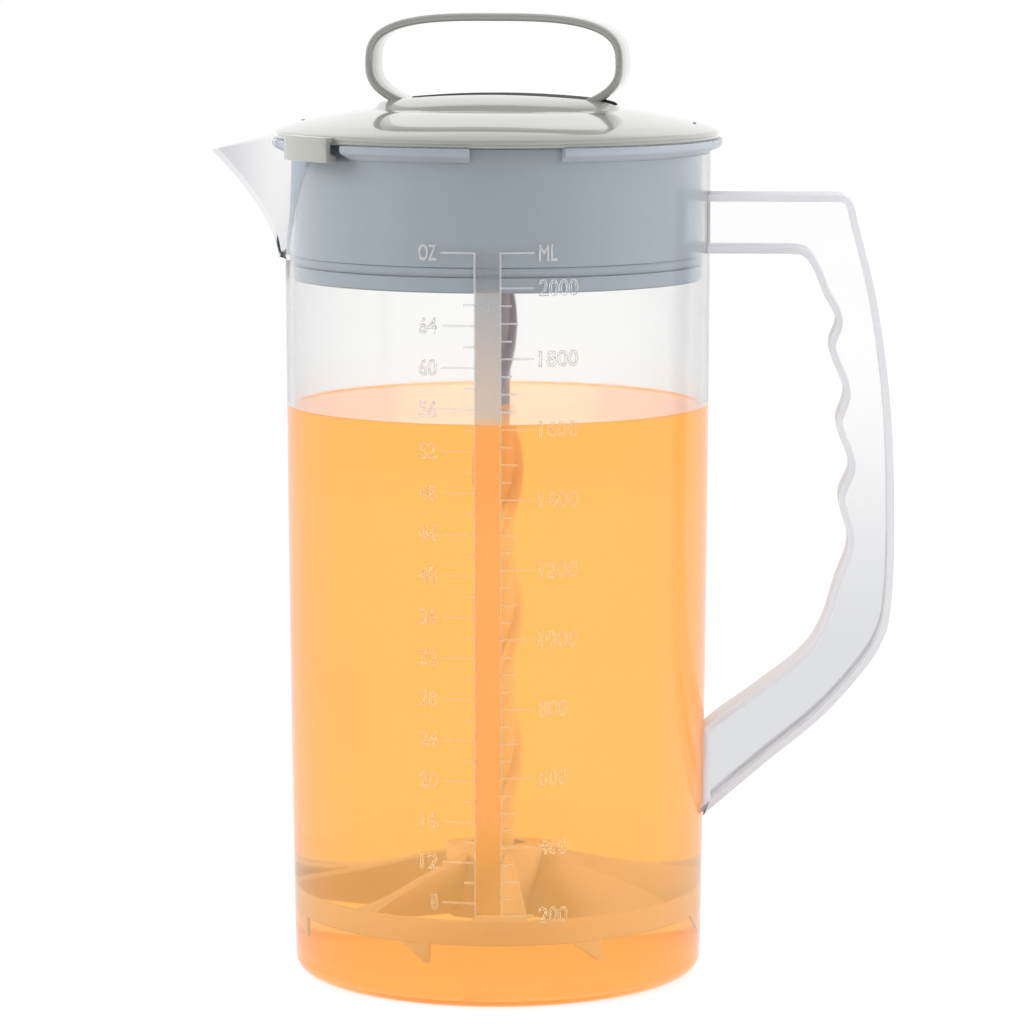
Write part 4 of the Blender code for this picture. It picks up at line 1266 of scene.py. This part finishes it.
def moulded(name, group, tint, finish, coat, metallic):
    """An opaque moulded plastic, rubber or metal."""
    made, tree, shader = new_material(name)
    link(tree, add_effect(tree, shader, group, tint, finish), shader.inputs["Base Color"])
    set_values(shader, Coat_Weight=coat, Coat_Roughness=COAT_ROUGHNESS, Metallic=metallic)
    return made


def let_shadows_through(tree, shader, share):
    """Lets this share of a lamp's light straight through a clear piece."""
    path = tree.nodes.new("ShaderNodeLightPath")
    opaque = math_node(tree, "MULTIPLY_ADD", path.outputs["Is Shadow Ray"], -share, 1.0)
    link(tree, opaque, shader.inputs["Alpha"])


def greyer_at_a_slant(tree, colour, slant_shade_colour):
    """Greyer where a wall, not the floor, is seen at a slant: painted shade, along with the more
    plastic that lies in the line of sight.
    """
    weight = tree.nodes.new("ShaderNodeLayerWeight")
    slant = math_node(tree, "POWER", weight.outputs["Facing"], 2.0)
    _, _, _, height = place_on_piece(tree)
    wall = ramp(tree, height, JUG_FLOOR, JUG_FLOOR + FOOT_FILLET * 2)
    return mix_colours(tree, math_node(tree, "MULTIPLY", slant, wall), colour, slant_shade_colour)


def see_through(name, group, tint, slant_shade_colour, finish, transmission, ior):
    """A clear or frosted moulded plastic."""
    made, tree, shader = new_material(name)
    colour = add_effect(tree, shader, group, tint, finish)
    # The colour at a slant is painted shade.
    if slant_shade_colour:
        colour = greyer_at_a_slant(tree, colour, slant_shade_colour)
    link(tree, colour, shader.inputs["Base Color"])
    set_values(shader, Transmission_Weight=transmission, IOR=ior)
    let_shadows_through(tree, shader, LAMP_SHARE)
    return made


def drink_material():
    """Orange drink, a little deeper just under its surface, with a painted glow for the light that
    its cloudiness scatters.
    """
    made, tree, shader = new_material("orange_drink")
    pulp = noise(tree, place_on_piece(tree)[0], PULP_SCALE)
    share = math_node(tree, "MULTIPLY", pulp, PULP_STRENGTH)
    colour = mix_colours(tree, share, tinted(tree, DRINK_TINT), DRINK_PULP)
    link(tree, colour, shader.inputs["Base Color"])
    glow = mix_colours(tree, share, DRINK_GLOW, PULP_GLOW)
    link(tree, glow, shader.inputs["Emission Color"])
    set_values(
        shader, Emission_Strength=1.0, Roughness=DRINK_ROUGHNESS,
        Transmission_Weight=DRINK_TRANSMISSION, IOR=DRINK_IOR,
    )
    let_shadows_through(tree, shader, DRINK_LAMP_SHARE)
    return made


# Stage


def make_camera():
    data = bpy.data.cameras.new("camera")
    data.lens = CAMERA_LENS
    data.sensor_width = CAMERA_SENSOR
    camera = new_object("camera", data)
    camera.location = CAMERA_PLACE
    camera.rotation_euler = (CAMERA_PITCH, 0, CAMERA_YAW)
    bpy.context.scene.camera = camera


def softbox(name, place, size, power):
    """A square lamp that faces the pitcher and shows neither in gloss nor through plastic."""
    data = bpy.data.lights.new(name, "AREA")
    data.size = size
    data.energy = power
    lamp = new_object(name, data)
    lamp.location = place
    towards = Vector(LAMP_AIM) - Vector(place)
    lamp.rotation_euler = towards.to_track_quat("-Z", "Y").to_euler()
    lamp.visible_glossy = False
    lamp.visible_transmission = False


def make_world():
    """White behind and above, greyer in front; white to the camera and through clear plastic."""
    world = bpy.data.worlds.new("studio")
    world.use_nodes = True
    tree = world.node_tree
    background = tree.nodes["Background"]
    place = tree.nodes.new("ShaderNodeTexCoord").outputs["Generated"]
    split = tree.nodes.new("ShaderNodeSeparateXYZ")
    link(tree, place, split.inputs[0])
    behind = ramp(tree, split.outputs["Y"], *WORLD_BEHIND)
    above = ramp(tree, split.outputs["Z"], *WORLD_ABOVE)
    rays = tree.nodes.new("ShaderNodeLightPath").outputs
    overhead = mix_colours(tree, rays["Is Glossy Ray"], WHITE, WORLD_OVERHEAD_GLOSS)
    level = mix_colours(tree, behind, WORLD_FRONT, WHITE)
    light = mix_colours(tree, above, level, overhead)
    seen = math_node(tree, "MAXIMUM", rays["Is Camera Ray"], rays["Is Transmission Ray"])
    link(tree, mix_colours(tree, seen, light, WHITE), background.inputs["Color"])
    bpy.context.scene.world = world


def make_floor():
    """A pale floor that keeps the shadow, and is pure white in gloss and through plastic."""
    shape = bmesh.new()
    bmesh.ops.create_grid(shape, x_segments=2, y_segments=2, size=FLOOR_SIZE)
    bmesh.ops.translate(shape, verts=shape.verts, vec=(0, 0, -TOUCH_GAP))
    floor = finished("floor", shape)
    made, tree, shader = new_material("white_sweep")
    rays = tree.nodes.new("ShaderNodeLightPath").outputs
    through = math_node(tree, "MAXIMUM", rays["Is Transmission Ray"], rays["Is Glossy Ray"])
    link(tree, mix_colours(tree, through, FLOOR_GREY, BLACK), shader.inputs["Base Color"])
    link(tree, mix_colours(tree, through, FLOOR_GLOW, WHITE), shader.inputs["Emission Color"])
    set_values(shader, Emission_Strength=1.0, Roughness=FLOOR_ROUGHNESS, Specular_IOR_Level=0.0)
    floor.data.materials.append(made)


def main():
    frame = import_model()
    make_camera()
    make_world()
    make_floor()
    for name, (place, size, power) in LAMPS.items():
        softbox(name, place, size, power)

    group = moulded_group()
    looks = {name: moulded(name, group, *look) for name, look in MOULDED.items()}
    looks |= {name: see_through(name, group, *look) for name, look in SEE_THROUGH.items()}

    make_clear_jug(looks["clear_plastic"], looks["beak_plastic"])
    make_lip_segments(looks["lip_plastic"])
    make_handle_flange(looks["flange_plastic"])
    make_handle_web(looks["web_plastic"])
    make_volume_scale(looks["raised_marks"])
    make_scale_strip(looks["grained_strip"])
    make_drink(drink_material())
    make_lid_cover(looks["warm_grey_plastic"])
    make_lid_skirt(looks["blue_grey_plastic"])
    make_skirt_seal(looks["seal_rubber"])
    make_loop_handle(looks["warm_grey_plastic"])
    make_twisted_shaft(looks["shaft_plastic"])
    make_agitator(looks["white_plastic"])
    for node, look in HIDDEN_NODES.items():
        frame["nodes"][node].data.materials.clear()
        frame["nodes"][node].data.materials.append(looks[look])

    bpy.context.scene.view_settings.view_transform = "Standard"


main()
